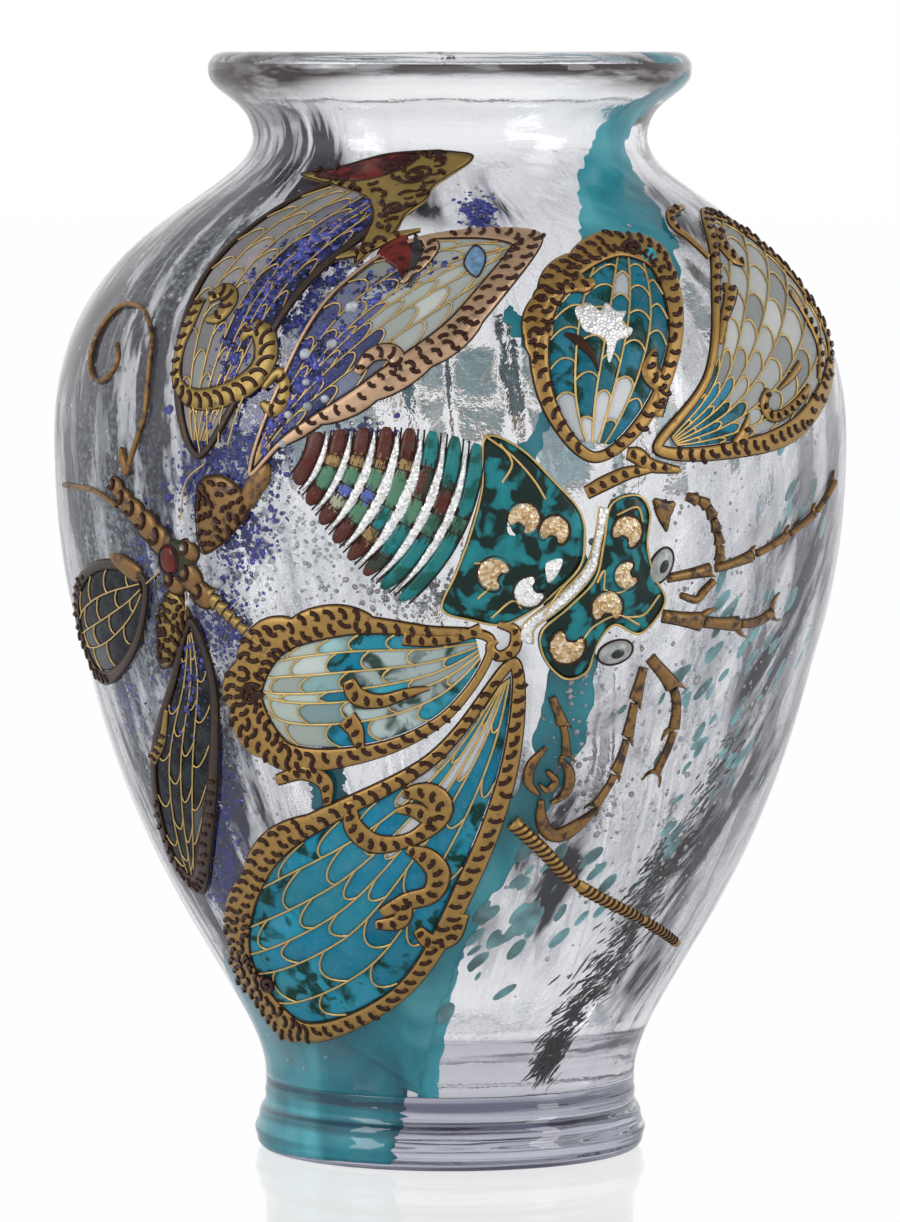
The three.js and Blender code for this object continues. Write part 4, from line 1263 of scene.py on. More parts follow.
def outline_wire(turn, outline, lift, out=0.0, count=160):
    line = looped(outline)(np.linspace(0, 1, count))[:, :2]
    middle = line[:-1].mean(axis=0)
    return laid(turn, line + unit(line - middle) * out, lift)


def open_wire(turn, path, lift):
    return laid(turn, along_path(path, 40), lift)


def body_enamel(name, base, stain, amount):
    """Deep enamel over the glass, with soft black-green spots and a wet shine."""
    made, add = nodes_of(name)
    cloud = noise(add, 210.0, 2.0, Distortion=0.4)
    tint = ramped(add, cloud, (0.55 - amount * 0.1, base), (0.62 - amount * 0.1, stain),
                  (0.22, [min(1, c * 1.5 + 0.01) for c in base]))
    return surfaced(made, add, tint, {"Roughness": 0.22, "Specular IOR Level": 0.25, "Coat Weight": 0.15,
                                      "Coat Roughness": 0.05,
                                      "Normal": bumped(add, cloud, 0.5, 0.0004)}, 0.22)


def foil_finish(name, colours):
    """Crinkled foil under clear enamel, in gold and silver grains."""
    made, add = nodes_of(name)
    place = add("ShaderNodeTexCoord")
    grain = add("ShaderNodeTexVoronoi", {"Vector": place.outputs["Object"], "Scale": 1500.0})
    shade = add("ShaderNodeSeparateColor", {0: grain.outputs["Color"]})
    tint = ramped(add, shade.outputs["Red"], (0.15, colours[0]), (0.95, colours[2]), (0.55, colours[1]))
    return surfaced(made, add, tint, {"Metallic": 0.55, "Roughness": 0.28, "Coat Weight": 0.5,
                                      "Normal": bumped(add, grain.outputs["Distance"], 0.7, 0.0004)})


dark_teal = body_enamel("dark teal body enamel", (0.010, 0.22, 0.25), (0.003, 0.024, 0.018), 0.9)
gold_foil = foil_finish("gold foil crescents", ((0.42, 0.25, 0.10), (0.62, 0.44, 0.22), (0.80, 0.68, 0.50)))
silver_foil = foil_finish("silver grains", ((0.62, 0.62, 0.62), (0.86, 0.86, 0.86), (0.96, 0.96, 0.96)))

thorax_line = [(-12, 4.5), (-5, 2.5), (2.5, -4.5), (8.3, -11), (9.6, -17.5), (8.4, -23), (3, -28.5),
               (-3, -33), (-8, -35), (-14, -34), (-20.5, -31.5), (-18, -24), (-15.2, -15.5), (-12.8, -6)]
head_line = [(15, -9.5), (21, -7.8), (24, -11.5), (23.6, -18), (25.6, -25), (28.6, -30.8), (23, -37.5),
             (16.5, -35.5), (12.6, -40), (11, -45.5), (6.2, -47), (1.5, -42.5), (0.4, -36.5), (6, -31.2),
             (11.6, -25), (13.4, -17.5)]
piece("large_moth_thorax_enamel", *cushion(LARGE, thorax_line, 0, 1.2, 0.5, count=150), dark_teal,
      "dark_green_enamel", ["large_moth_thorax"])
piece("large_moth_head_enamel", *cushion(LARGE, head_line, 0, 1.2, 0.4, count=150, middle=(15, -26)),
      dark_teal, "dark_green_enamel", ["large_moth_head"])
collar_path = [(13.8, -10.5), (12.2, -17.5), (10.4, -23.6), (4.6, -29.8), (-1.6, -34.8), (-3, -38.5)]
shape, collar_rim = leaf(LARGE, collar_path, [2.6, 1.6, 2.4, 2.6, 2.4, 4.2], 0.25, 0.9, count=60)
piece("large_moth_collar", *shape, silver_foil, "foil_jewel")
piece("large_moth_silver_patch", *cushion(LARGE, patch, 0.5, 0.45, 0.1, rings=7, count=160), silver_foil,
      "foil_jewel")
piece("large_moth_border_window", *cushion(LARGE, window, 0.95, 0.35, 0.15, rings=5, count=50),
      plain_finish("bright teal window", (0.03, 0.42, 0.50), 0.15, glow=0.3, grain=500.0), "teal_enamel")
shape, _ = leaf(LARGE, [(6, 26), (9, 24.2), (11.6, 21), (12.7, 17.8)], [0.8, 2.4, 1.6, 0.2], 0.5, 0.7)
piece("large_moth_dark_leaf", *shape, brown_spots, "brown_gilding")

body_lines = [outline_wire(LARGE, thorax_line, 0.95, -0.35), outline_wire(LARGE, head_line, 0.95, -0.35)]
body_lines += collar_rim
body_lines += [open_wire(LARGE, p, 1.45) for p in (
    [(-12.5, 5), (-6.5, 0.5), (-2, -4.5), (0.5, -8.5)], [(-9, 3), (-6.5, -1), (-8.5, -5)],
    [(-13, -29), (-10, -25.5), (-11.5, -22), (-14, -21.5)], [(-10, -33), (-6, -29.5), (-4, -31)],
    [(1, -32.5), (4, -27.5), (8.4, -22), (9, -15)], [(16, -12), (20.5, -10.5), (22, -13.5)],
    [(13.5, -27.5), (17, -28.2), (20, -26.5)], [(13.5, -27.5), (13.5, -23.5), (12, -26)],
    [(22, -35.2), (17, -33), (12, -35), (9.5, -38)], [(26.5, -29), (23, -33), (18.5, -33.5)])]
wires("large_moth_body_lines", body_lines, 0.27, wire_gold)

# Crescents of gold and silver foil, each in a fine gold rim.


def crescent_shape(centre, heading, radius, bite):
    """The outline of a moon: a disc with a smaller disc bitten from it."""
    angles = np.radians(np.linspace(-1, 1, 17) * 150)
    outer = np.column_stack([np.cos(angles), np.sin(angles)]) * radius
    inner_angles = np.radians(np.linspace(1, -1, 11) * 100)
    inner = np.column_stack([np.cos(inner_angles), np.sin(inner_angles)]) * bite * radius
    inner[:, 0] -= radius * 0.80
    outline = np.vstack([outer[1:-1], inner[1:-1]])
    return rotated(outline, heading) + centre, rotated(np.array([1.0, 0.0]), heading) * radius * 0.25 + centre


crescents = [((-4.1, -12.6), 60, 3.6, gold_foil), ((2.4, -15.1), 75, 3.3, gold_foil),
             ((-9.8, -23.8), 150, 3.6, gold_foil), ((-2.4, -27.6), 210, 3.4, silver_foil),
             ((6.2, -39.4), 250, 3.9, gold_foil), ((14.4, -31.4), 90, 3.6, gold_foil),
             ((18.4, -15.6), 60, 3.5, gold_foil)]
crescent_rims = []
for number, (centre, heading, radius, foil) in enumerate(crescents, 1):
    outline, middle = crescent_shape(centre, heading, radius, 0.5)
    piece(f"large_moth_foil_crescent_{number}", *cushion(LARGE, outline, 1.15, 0.6, 0.25, rings=6, count=64,
                                                         middle=middle),
          foil, "foil_jewel", [f"large_moth_crescent_{number}"])
    crescent_rims.append(outline_wire(LARGE, outline, 1.5, 0.12, 80))
extra_foil = [cushion(LARGE, outline, 1.0, 0.5, 0.2, rings=5, count=48) for outline in (
    [(0.5, -21), (4.5, -20.5), (3.6, -24), (1.6, -26), (0.6, -24)],
    [(-8.6, -10), (-6.4, -14), (-3, -17.5), (-5.6, -18.4), (-8.4, -16)])]
piece("large_moth_small_foils", *joined(extra_foil), silver_foil, "foil_jewel")
moon = crescent_shape((18.6, -24.6), 200, 3.0, 0.5)
piece("large_moth_head_moon", *cushion(LARGE, moon[0], 1.1, 0.6, 0.25, rings=6, count=64, middle=moon[1]),
      gold_foil, "foil_jewel")
crescent_rims.append(outline_wire(LARGE, moon[0], 1.45, 0.12, 80))
wires("large_moth_crescent_rims", crescent_rims, 0.24, dark_line, sides=5)

# The abdomen: eight curved bands of enamel in small fields, with bare silvery glass between them. The paint
# is drawn out into hatching where the fields meet.

SKIN_RED, SKIN_GREEN, SKIN_CREAM = (0.125, 0.020, 0.011), (0.12, 0.31, 0.19), (0.56, 0.56, 0.40)
SKIN_BLUE, SKIN_TEAL, SKIN_OCHRE = (0.14, 0.19, 0.66), (0.008, 0.26, 0.27), (0.50, 0.32, 0.12)
body_cells = enamel_finish("abdomen enamel", 0.05, 0.10, 0.3)
TAIL, TAIL_HEADING, ABDOMEN = np.array([-50.5, 0.5]), -25.0, 38.5
PITCH = ABDOMEN / 8


def abdomen_place(along, across):
    """across runs from -0.5 at the lower edge to 0.5 at the upper one."""
    swell = np.sin(np.pi / 2 * (along + PITCH) / (ABDOMEN + PITCH))
    width = 3 + 33 * swell
    bowed = along - 3.5 * 4 * across**2 * np.minimum(width / 36, 1)
    way = math.radians(TAIL_HEADING)
    x, y = bowed, across * width
    return TAIL[0] + x * math.cos(way) - y * math.sin(way), TAIL[1] + x * math.sin(way) + y * math.cos(way)


band_fields = [
    [(1.0, SKIN_RED)],
    [(0.30, SKIN_RED), (0.45, SKIN_OCHRE), (0.75, SKIN_GREEN), (1.0, SKIN_RED)],
    [(0.25, SKIN_RED), (0.36, SKIN_OCHRE), (0.55, SKIN_GREEN), (0.66, SKIN_BLUE), (0.8, SKIN_CREAM),
     (1.0, SKIN_RED)],
    [(0.24, SKIN_RED), (0.32, SKIN_OCHRE), (0.5, SKIN_GREEN), (0.6, SKIN_BLUE), (0.78, SKIN_GREEN),
     (1.0, SKIN_RED)],
    [(0.20, SKIN_RED), (0.28, SKIN_OCHRE), (0.55, SKIN_GREEN), (0.72, SKIN_TEAL), (0.82, SKIN_OCHRE),
     (1.0, SKIN_RED)],
    [(0.22, SKIN_TEAL), (0.42, SKIN_RED), (0.60, SKIN_GREEN), (0.84, SKIN_TEAL), (1.0, SKIN_RED)],
    [(0.30, SKIN_TEAL), (0.46, SKIN_RED), (0.60, SKIN_GREEN), (1.0, SKIN_TEAL)],
    [(0.42, SKIN_TEAL), (0.52, SKIN_GREEN), (1.0, SKIN_TEAL)],
]
SLOTS = ["red_brown_enamel", "cream_enamel", "green_enamel", "red_brown_enamel", "green_enamel",
         "cream_enamel", "green_enamel", "dark_green_enamel"]
hatching, band_edges, silver_gaps = [], [], []
hatch_pick = np.random.default_rng(3)
for number, fields in enumerate(band_fields):
    first, last = number * PITCH + 0.55, number * PITCH + PITCH - 0.95
    s = np.linspace(0, 1, 90)
    a = np.linspace(0, 1, 14)
    across, along = np.meshgrid(0.5 - s, first + (last - first) * a, indexing="ij")
    pinch = 1 - 0.6 * np.abs(2 * s - 1) ** 12
    along = (first + last) / 2 + (along - (first + last) / 2) * pinch[:, None]
    edge = (np.abs(2 * a - 1) ** 4)[None, :]
    height = 1.25 + 0.9 * np.sin(np.pi * s)[:, None] ** 0.5 * (1 - 0.5 * edge) - 0.45 * edge
    x, y = abdomen_place(along, across)
    points, faces = slab(on_wall(LARGE, x, y, height), on_wall(LARGE, x, y, SINK))
    ragged = s[:, None] + 0.018 * hatch_pick.normal(0, 1, 14)[None, :]
    tint = np.zeros((*across.shape, 4))
    for stop, colour in reversed(fields):
        tint = np.where((ragged <= stop)[..., None], [*colour, 0.7 * (number > 3)], tint)
    piece(f"large_moth_abdomen_enamel_{number + 1}", points, faces, body_cells, SLOTS[number],
          [f"large_moth_abdomen_band_{number + 1}"],
          tints={"cells": np.concatenate([tint.reshape(-1, 4)] * 2)})
    if number:
        s = np.linspace(0, 1, 60)
        swell_gap = np.sin(np.pi * s) ** 0.8 * (0.7, 0.85, 1.15, 1.35, 1.35, 1.15, 1.0)[number - 1]
        across, along = np.meshgrid(0.47 - 0.94 * s, np.linspace(-1, 1, 6), indexing="ij")
        along = number * PITCH - 0.1 + along * swell_gap[:, None]
        dome = 1.75 + 0.55 * np.sin(np.pi * s)[:, None] ** 0.5 - 0.5 * (np.linspace(-1, 1, 6) ** 4)[None]
        x, y = abdomen_place(along, across)
        silver_gaps.append(slab(on_wall(LARGE, x, y, dome), on_wall(LARGE, x, y, SINK)))
    far = np.linspace(0.5, -0.5, 40)
    for value in (first - 0.1, last + 0.1):
        x, y = abdomen_place(np.full(40, value), far)
        band_edges.append(on_wall(LARGE, x, y, 0.75 + 0.5 * np.sin(np.pi * (0.5 - far)) ** 0.5))
    for stop, _ in fields[:-1]:
        rise = 1.25 + 0.9 * math.sin(math.pi * stop) ** 0.5 + 0.02
        x, y = abdomen_place(np.linspace(first, last, 8), np.full(8, 0.5 - stop))
        hatching.append((on_wall(LARGE, x, y, rise - 0.1), np.full(8, 1.0)))
        for value in np.linspace(first + 0.2, last - 0.2, 8):
            reach = hatch_pick.uniform(0.02, 0.06) * hatch_pick.choice([-1, 1])
            x, y = abdomen_place(np.full(4, value), 0.5 - np.linspace(stop, stop + reach, 4))
            hatching.append((on_wall(LARGE, x, y, rise - 0.12), np.array([1.3, 1.1, 0.8, 0.3])))
piece("large_moth_silver_gaps", *joined(silver_gaps), silver_foil, "foil_jewel")
wires("large_moth_abdomen_edges", band_edges, 0.22, dark_line, sides=5)
wires("large_moth_abdomen_hatching", hatching, 0.17, brown_spots, sides=4)

# Two grey eyes with black pupils.
eye_finish = plain_finish("grey eye enamel", (0.42, 0.45, 0.44), 0.12, glow=0.15, grain=500.0, spread=0.25)
pupil_finish = plain_finish("black pupil", (0.010, 0.012, 0.012), 0.08, grain=300.0)
pupils, eye_rims = [], []
for number, centre in enumerate([(27, -23), (17.2, -41.2)], 1):
    eye = oval(4.0, 2.5, 12, 62 if number == 1 else 15)
    piece(f"large_moth_grey_eye_{number}", *cushion(LARGE, eye + centre, 0.2, 1.1, 0.9, rings=8, count=48),
          eye_finish, "eye_enamel", [f"large_moth_eye_{number}"])
    pupils.append(cushion(LARGE, eye * 0.42 + centre, 1.85, 0.3, 0.2, rings=4, count=24))
    eye_rims.append(outline_wire(LARGE, eye + centre, 0.8, 0.1, 60))
piece("large_moth_pupils", *joined(pupils), pupil_finish, "eye_enamel")
wires("large_moth_eye_rims", eye_rims, 0.26, dark_line, sides=5)

# Jointed legs with thorns, and one feeler, in brown gilding.
brown_gold = gilding("brown gilding", (0.31, 0.17, 0.055), (0.035, 0.016, 0.010), 0.40, 0.52)


def jointed_limb(turn, path, widths, segments, thorn, seed):
    """Segments that swell at one end, with thorns at their joints."""
    shake = np.random.default_rng(seed)
    line = along_path(np.column_stack([path, np.broadcast_to(widths, len(path))]), 121)
    shapes = []
    rims = []
    cuts = np.linspace(0, 120, segments + 1).astype(int)
    for k in range(segments):
        part = line[cuts[k]:cuts[k + 1] - (2 if k < segments - 1 else 0)]
        swell = 0.72 + 0.5 * np.linspace(0, 1, len(part)) ** 2
        shape, rim = leaf(turn, part[:, :2], part[:, 2] * swell, 0, 1.25, count=14, across=5)
        shapes.append(shape)
        rims += rim
        if thorn:
            tip = part[-2]
            ahead = unit(part[-1, :2] - part[-4, :2])
            for hand in ((1, -1) if k == segments - 1 else (shake.choice([-1, 1]),)):
                side = beside(ahead) * hand
                spike = np.array([tip[:2], tip[:2] + ahead * thorn * 0.5 + side * thorn * 0.7,
                                  tip[:2] + ahead * thorn * 1.3 + side * thorn])
                shape, rim = leaf(turn, spike, [tip[2] * 0.7, tip[2] * 0.4, 0.1], 0, 0.9, count=6, across=4)
                shapes.append(shape)
    return shapes, rims


legs = [([(29, -25.8), (43.9, -23.9), (55.1, -21.5), (64, -18.8), (78.5, -14), (90, -8)], 2.6, 1.2, 5, 1.8),
        ([(28.3, -33.9), (39.6, -35.7), (47.7, -36.5), (55.9, -36.6), (61.6, -34.9)], 3.8, 1.8, 3, 3.2),
        ([(26, -43), (33, -51), (33.5, -60), (30, -69)], 3.6, 1.5, 3, 2.6),
        ([(24.5, -45), (23, -53), (21.5, -62), (19, -70), (15.5, -76)], 2.8, 1.7, 4, 1.8),
        ([(4, -51), (7, -58), (8, -64)], 2.4, 1.8, 2, 1.8)]
leg_rims = []
for number, (path, start, end, segments, thorn) in enumerate(legs, 1):
    shapes, rims = jointed_limb(LARGE, path, np.linspace(start, end, len(path)), segments, thorn, number)
    piece(f"large_moth_gilt_leg_{number}", *joined(shapes), brown_gold, "brown_gilding",
          [f"large_moth_leg_{number}"])
    leg_rims += rims
shapes, rims = leaves(LARGE, [
    ([(3.4, -62), (0.5, -66), (0.2, -70), (3, -73)], [0.8, 2.2, 2.0, 0.6]),
    ([(6.6, -64.6), (9, -68), (8.6, -72.4), (5.4, -75)], [0.8, 2.2, 2.2, 0.6]),
    ([(4, -67.4), (6, -69.8), (4.4, -71.8), (2.6, -70.4)], [1.0, 1.6, 1.4, 0.6]),
    ([(3.2, -74), (3.8, -79), (6.4, -82.4), (10.4, -81.4), (16.8, -76)], [1.2, 2.6, 2.8, 3.2, 0.6])], 0, 1.2)
piece("large_moth_scrolled_foot", *joined(shapes), brown_gold, "brown_gilding")
leg_rims += rims
feeler_path = [(33.4, -8.8), (38.2, -10.4), (40.6, -13.5), (42.6, -18.6), (42.9, -22.6)]
shapes, rims = jointed_limb(LARGE, feeler_path, 2.4, 6, 0.9, 9)
feeler_ends, end_rims = leaves(LARGE, [
    ([(30.2, -10), (27.8, -11.2), (25.2, -9.2)], [0.8, 4.0, 0.8]),
    ([(27.4, -10.6), (27.8, -13), (28.4, -16)], [4.4, 3.0, 0.3]),
    ([(32.6, -29.6), (36.7, -30.7), (39.1, -28.8), (41.4, -26.9)], [1.2, 1.6, 1.8, 1.4])], 0, 1.1)
piece("large_moth_feeler", *joined(shapes + feeler_ends), brown_gold, "brown_gilding", ["large_moth_antenna"])
wires("large_moth_leg_outlines", leg_rims + rims + end_rims, 0.15, dark_line, sides=4)

# ---- The blue moth ----
# A slimmer moth that flies up the left side: grey and pale violet enamel, a heart of crushed blue glass,
# gilded scrolls at the wing tips and a thin feeler that winds into a spiral.

BLUE = -42.72
VIOLET_GREY, COOL_GREY, NAVY = (0.56, 0.49, 0.52), (0.50, 0.51, 0.50), (0.008, 0.009, 0.065)
BRIGHT_BLUE = (0.022, 0.038, 0.30)


def blue_upper_colours(c, t, own):
    colour = mixed(VIOLET_GREY, COOL_GREY, own[..., 1])
    heart = np.clip((c - 0.30 - 0.12 * own[..., 2]) / 0.12, 0, 1) * (t > 0.24)
    colour = mixed(colour, mixed(NAVY, BRIGHT_BLUE, own[..., 0] * 0.6), heart)
    return with_blotches(colour, own, 0.12 + 0 * heart)


def blue_right_colours(c, t, own):
    colour = mixed((0.55, 0.58, 0.55), (0.76, 0.78, 0.74), own[..., 1])
    near = np.clip((0.50 - t + 0.1 * (own[..., 2] - 0.5)) / 0.1, 0, 1)
    colour = mixed(colour, mixed(BRIGHT_BLUE, (0.30, 0.34, 0.46), own[..., 0] ** 2), near * 0.9)
    return with_blotches(colour, own, 0.05 + 0 * near)


def blue_dark_colours(c, t, own):
    colour = mixed((0.006, 0.006, 0.018), (0.020, 0.020, 0.034), own[..., 1])
    colour = mixed(colour, (0.20, 0.21, 0.23), np.clip((t - 0.5) / 0.1, 0, 1) * (own[..., 2] > 0.72))
    return with_blotches(colour, own, 0.1 + 0 * t)


blue_upper = Wing("blue_moth_upper_wing", BLUE,
                  [(8, -1, 1.2), (0, 15, 1.8), (-2, 42, 1.2), (8, 68, 1.4), (31, 80, 3), (34, 62, 2.4),
                   (26, 38, 1.4), (19, 14, 1.2)], (0.40, 0.58))
blue_right = Wing("blue_moth_right_wing", BLUE,
                  [(21, -4, 0.8), (27, 16, 0.8), (33, 38, 0.9), (44, 52, 1.8), (68, 52, 5.6), (66, 28, 6.4),
                   (50, 13, 5), (31, 4, 1.2)], (0.42, 0.60), [(0.62, 0.90, 4, 1.0)])
blue_left = Wing("blue_moth_left_wing", BLUE,
                 [(-9, -28, 1.4), (-15, -41, 1.6), (-28, -50, 2), (-42, -52, 3.4), (-50, -42, 4),
                  (-44, -31, 3), (-31, -25, 2), (-18, -24, 1.6)], (0.40, 0.62))
blue_lower = Wing("blue_moth_lower_wing", BLUE,
                  [(2.5, -35, 1.4), (6.5, -46, 1.6), (4, -62, 2), (-4, -82, 3), (-17, -100, 4.6),
                   (-28, -92, 3.6), (-22, -70, 2), (-7, -49, 1.6)], (0.42, 0.60))
bronze_gold = gilding("old gold", (0.36, 0.245, 0.070), (0.08, 0.045, 0.020), 0.40, 0.42)
pink_gold = gilding("pale copper gold", (0.58, 0.38, 0.24), (0.30, 0.15, 0.09), 0.40, 0.40)
petal_gold = gilding("brown gold", (0.28, 0.155, 0.055), (0.06, 0.026, 0.013), 0.40, 0.50)
thin_edge = gilding("worn brown edge", (0.10, 0.062, 0.030), (0.025, 0.014, 0.010), 0.40, 0.62)
spots, fine_veins, rims = [], [], []
for wing, colours, columns, rows, finish, key, slot in (
        (blue_upper, blue_upper_colours, [0, .14, .28, .42, .57, .71, .85, 1],
         [0, .20, .34, .46, .57, .68, .78, .89, 1], thin_edge, "upper", "blue_enamel"),
        (blue_right, blue_right_colours, [0, .17, .34, .51, .67, .84, 1],
         [0, .20, .33, .45, .56, .67, .78, .89, 1], pink_gold, "right", "grey_enamel"),
        (blue_left, blue_dark_colours, [0, .25, .5, .75, 1], [0, .3, .55, .78, 1], thin_edge, "left",
         "blue_enamel"),
        (blue_lower, blue_dark_colours, [0, .25, .5, .75, 1], [0, .22, .4, .58, .74, .88, 1],
         thin_edge, "lower", "blue_enamel")):
    cells, veins = brick_cells(columns, rows, colours, 70 + len(rows))
    wing.enamel(cells, cell_enamel, slot, [f"blue_moth_wing_{key}_field"])
    wing.border(finish, "gilding", [f"blue_moth_wing_{key}_border"], height=0.95)
    fine_veins += veins(wing)
    rims += wing.rim_lines()
    spots += border_commas(wing, 3.0, 90 + len(columns), size=2.0, narrowest=2.4, lift=0.9)

# Gilded plates cover the wing tips, and scrolls stand on the cells.
tip = [(2, 72.4), (8, 74.2), (12.5, 76), (19, 78.8), (27, 79.8), (33.4, 79.6), (38.2, 78.2), (36.2, 73),
       (35, 68.6), (36.4, 64), (35.4, 58.5), (36.6, 53), (35, 47), (33.5, 43), (31.8, 49), (29.6, 56),
       (26, 61.5), (21.5, 65.6), (13, 69)]
red_patch = [(6.5, 71.8), (11, 74.6), (16, 77.0), (21, 78.6), (26, 79.0), (26.4, 76), (23.4, 72.4),
             (18.5, 70.2), (12, 70.6)]
plates = [cushion(BLUE, tip, 0.35, 0.75, 0.15, rings=7, count=140, middle=(28, 70))]
blue_curls = [
    ([(1.2, 33.5), (0.4, 28), (0, 22), (1, 15), (6, 11.5), (13, 12), (19.5, 15), (22.6, 19.5), (21, 25),
      (17.4, 27), (15.6, 24)], [2.4, 3.4, 2.4, 2.6, 4.2, 5.0, 5.4, 5.6, 5.0, 3.6, 1.2]),
    ([(3.2, 33.5), (6.4, 35.5), (9, 33), (8, 29.5), (5, 28.5)], [2.6, 3.8, 4.0, 3.4, 1.4]),
    ([(23.5, 14), (26.5, 17.5), (28.5, 13), (26.5, 9.5), (23.5, 11)], [1.2, 2.2, 3.0, 3.2, 1.2]),
    ([(28.5, 44.5), (33, 47.5), (36.5, 51), (41.5, 53.5)], [0.6, 3.6, 3.0, 1.0]),
    ([(46, 38), (47.5, 43), (47, 48), (43.5, 51)], [1.2, 2.6, 2.8, 1.0]),
    ([(43.5, 17.5), (46, 21.5), (50, 21.8), (52, 18.6), (49.5, 16)], [2.0, 3.4, 3.4, 2.8, 1.2]),
    ([(51, 18.5), (56, 20), (61, 24), (64.5, 30)], [2.0, 3.0, 3.4, 2.4]),
    ([(-20, -68), (-14, -63), (-10, -56)], [3.0, 2.2, 1.0]),
]
shapes, curl_rims = leaves(BLUE, blue_curls, 0.45, 0.75)
piece("blue_moth_gold_plates", *joined(plates + shapes[:4] + shapes[7:]), bronze_gold, "gilding")
piece("blue_moth_copper_curls", *joined(shapes[4:7]), pink_gold, "gilding")
dark_red = body_enamel("dark red enamel", (0.15, 0.018, 0.014), (0.05, 0.008, 0.010), 0.7)
piece("blue_moth_red_patch", *cushion(BLUE, red_patch, 1.0, 0.4, 0.1, rings=5, count=70), dark_red,
      "red_brown_enamel")
rims += [outline_wire(BLUE, tip, 0.95, -0.1), outline_wire(BLUE, red_patch, 1.25, 0.0, 80)]
rims += curl_rims
spots += curl_commas(BLUE, blue_curls, (1.4, 0.8), 2.6, 2.0, 1.16,
                     lambda width: (width * 0.72, min(2.0, width / 2.3)))
plate_pick = np.random.default_rng(17)
spots += [scroll(BLUE, (29.2, 72.4), 3.3, 1.22, 200, 1.9), scroll(BLUE, (31.6, 60.5), 2.4, 1.18, 40, hand=-1),
          scroll(BLUE, (22.5, 74.6), 1.8, 1.2, 300, hand=-1)]
for x, y in ((6, 73.6), (10, 74.6), (12, 70.8), (14.5, 69.8), (9, 71.8), (24, 67), (26.8, 65.4), (22, 68.8),
             (28.8, 78.4), (32.6, 77), (34.2, 73.4), (33.2, 67.6), (34.8, 65.4), (26, 77.6), (30.6, 66),
             (33.6, 56.6), (34.6, 53.4), (32.4, 54), (34.2, 49.6), (33.2, 46.6), (25, 71), (25.6, 74.2),
             (17.6, 68.6), (19.6, 67.4), (28.2, 61.8), (31, 57.4), (34.6, 61.4)):
    spots.append(comma(BLUE, (x, y), plate_pick.uniform(0, 360), plate_pick.uniform(1.8, 2.4), 1.18,
                       weight=1.35))

# A copper eye-spot and a small blue window on the right wing.
spot_red = cushion(BLUE, [(38, 52.8), (41.5, 49.7), (45, 45.1), (45.8, 38.8), (43.6, 41.3), (39.4, 44.1),
                          (36.4, 46.5)], 0.5, 0.55, 0.1, rings=5, count=70)
spot_black = cushion(BLUE, [(41.1, 52.2), (45, 48.3), (47.8, 42.4), (48.4, 36.8), (46.1, 40.2),
                            (44.2, 45.5)], 0.55,
                     0.55, 0.1, rings=5, count=60)
blue_window = [(55.6, 48.4), (58.4, 46.8), (60.4, 43.6), (60.8, 39.8), (58.2, 41.2), (56, 44)]
piece("blue_moth_red_eye_spot", *spot_red, dark_red, "red_brown_enamel")
piece("blue_moth_black_eye_spot", *spot_black, pupil_finish, "dark_green_enamel")
piece("blue_moth_blue_window", *cushion(BLUE, blue_window, 0.5, 0.5, 0.1, rings=5, count=60),
      plain_finish("sky blue enamel", (0.16, 0.30, 0.48), 0.18, glow=0.25, grain=500.0, spread=0.3),
      "blue_enamel")
rims.append(outline_wire(BLUE, blue_window, 0.8, 0.1, 70))

# The body is a chain of scales in old gold, with petals beside it and a banded tail.
scales = []
for x, y, size in ((-17.5, -8, 2.0), (-14.5, -10.8, 2.5), (-11, -13, 2.7), (-7.4, -15.6, 3.0),
                   (-3.6, -18.6, 3.1), (4.2, -26, 3.0), (7.2, -29.6, 2.7), (-0.4, -27.4, 2.4),
                   (4.8, -20.4, 2.2)):
    scale = oval(size * 1.25, size, 10, -40, (x, y))
    scales.append(cushion(BLUE, scale, 0.05, 1.0, 0.55, rings=6, count=36))
    rims.append(outline_wire(BLUE, scale, 0.55, 0.1, 48))
    spots.append(comma(BLUE, (x, y), -40, size * 0.9, 1.62, bend=200, weight=1.2))
piece("blue_moth_gold_scales", *joined(scales), petal_gold, "gilding", ["blue_moth_head"])
piece("blue_moth_dark_chest",
      *cushion(BLUE, oval(5.2, 4.4, 12, centre=(0.6, -22.6)), 0.15, 1.15, 0.3, rings=7, count=60),
      body_enamel("dark blue body enamel", (0.020, 0.024, 0.060), (0.05, 0.05, 0.02), 0.7), "blue_enamel",
      ["blue_moth_thorax"])
heart_shape = oval(2.5, 2.9, 12, centre=(-0.4, -22.4))
piece("blue_moth_red_heart", *cushion(BLUE, heart_shape, 1.3, 0.5, 0.5, rings=6, count=40),
      dark_red, "red_brown_enamel")
rims += [outline_wire(BLUE, heart_shape, 1.6, 0.3, 60)]
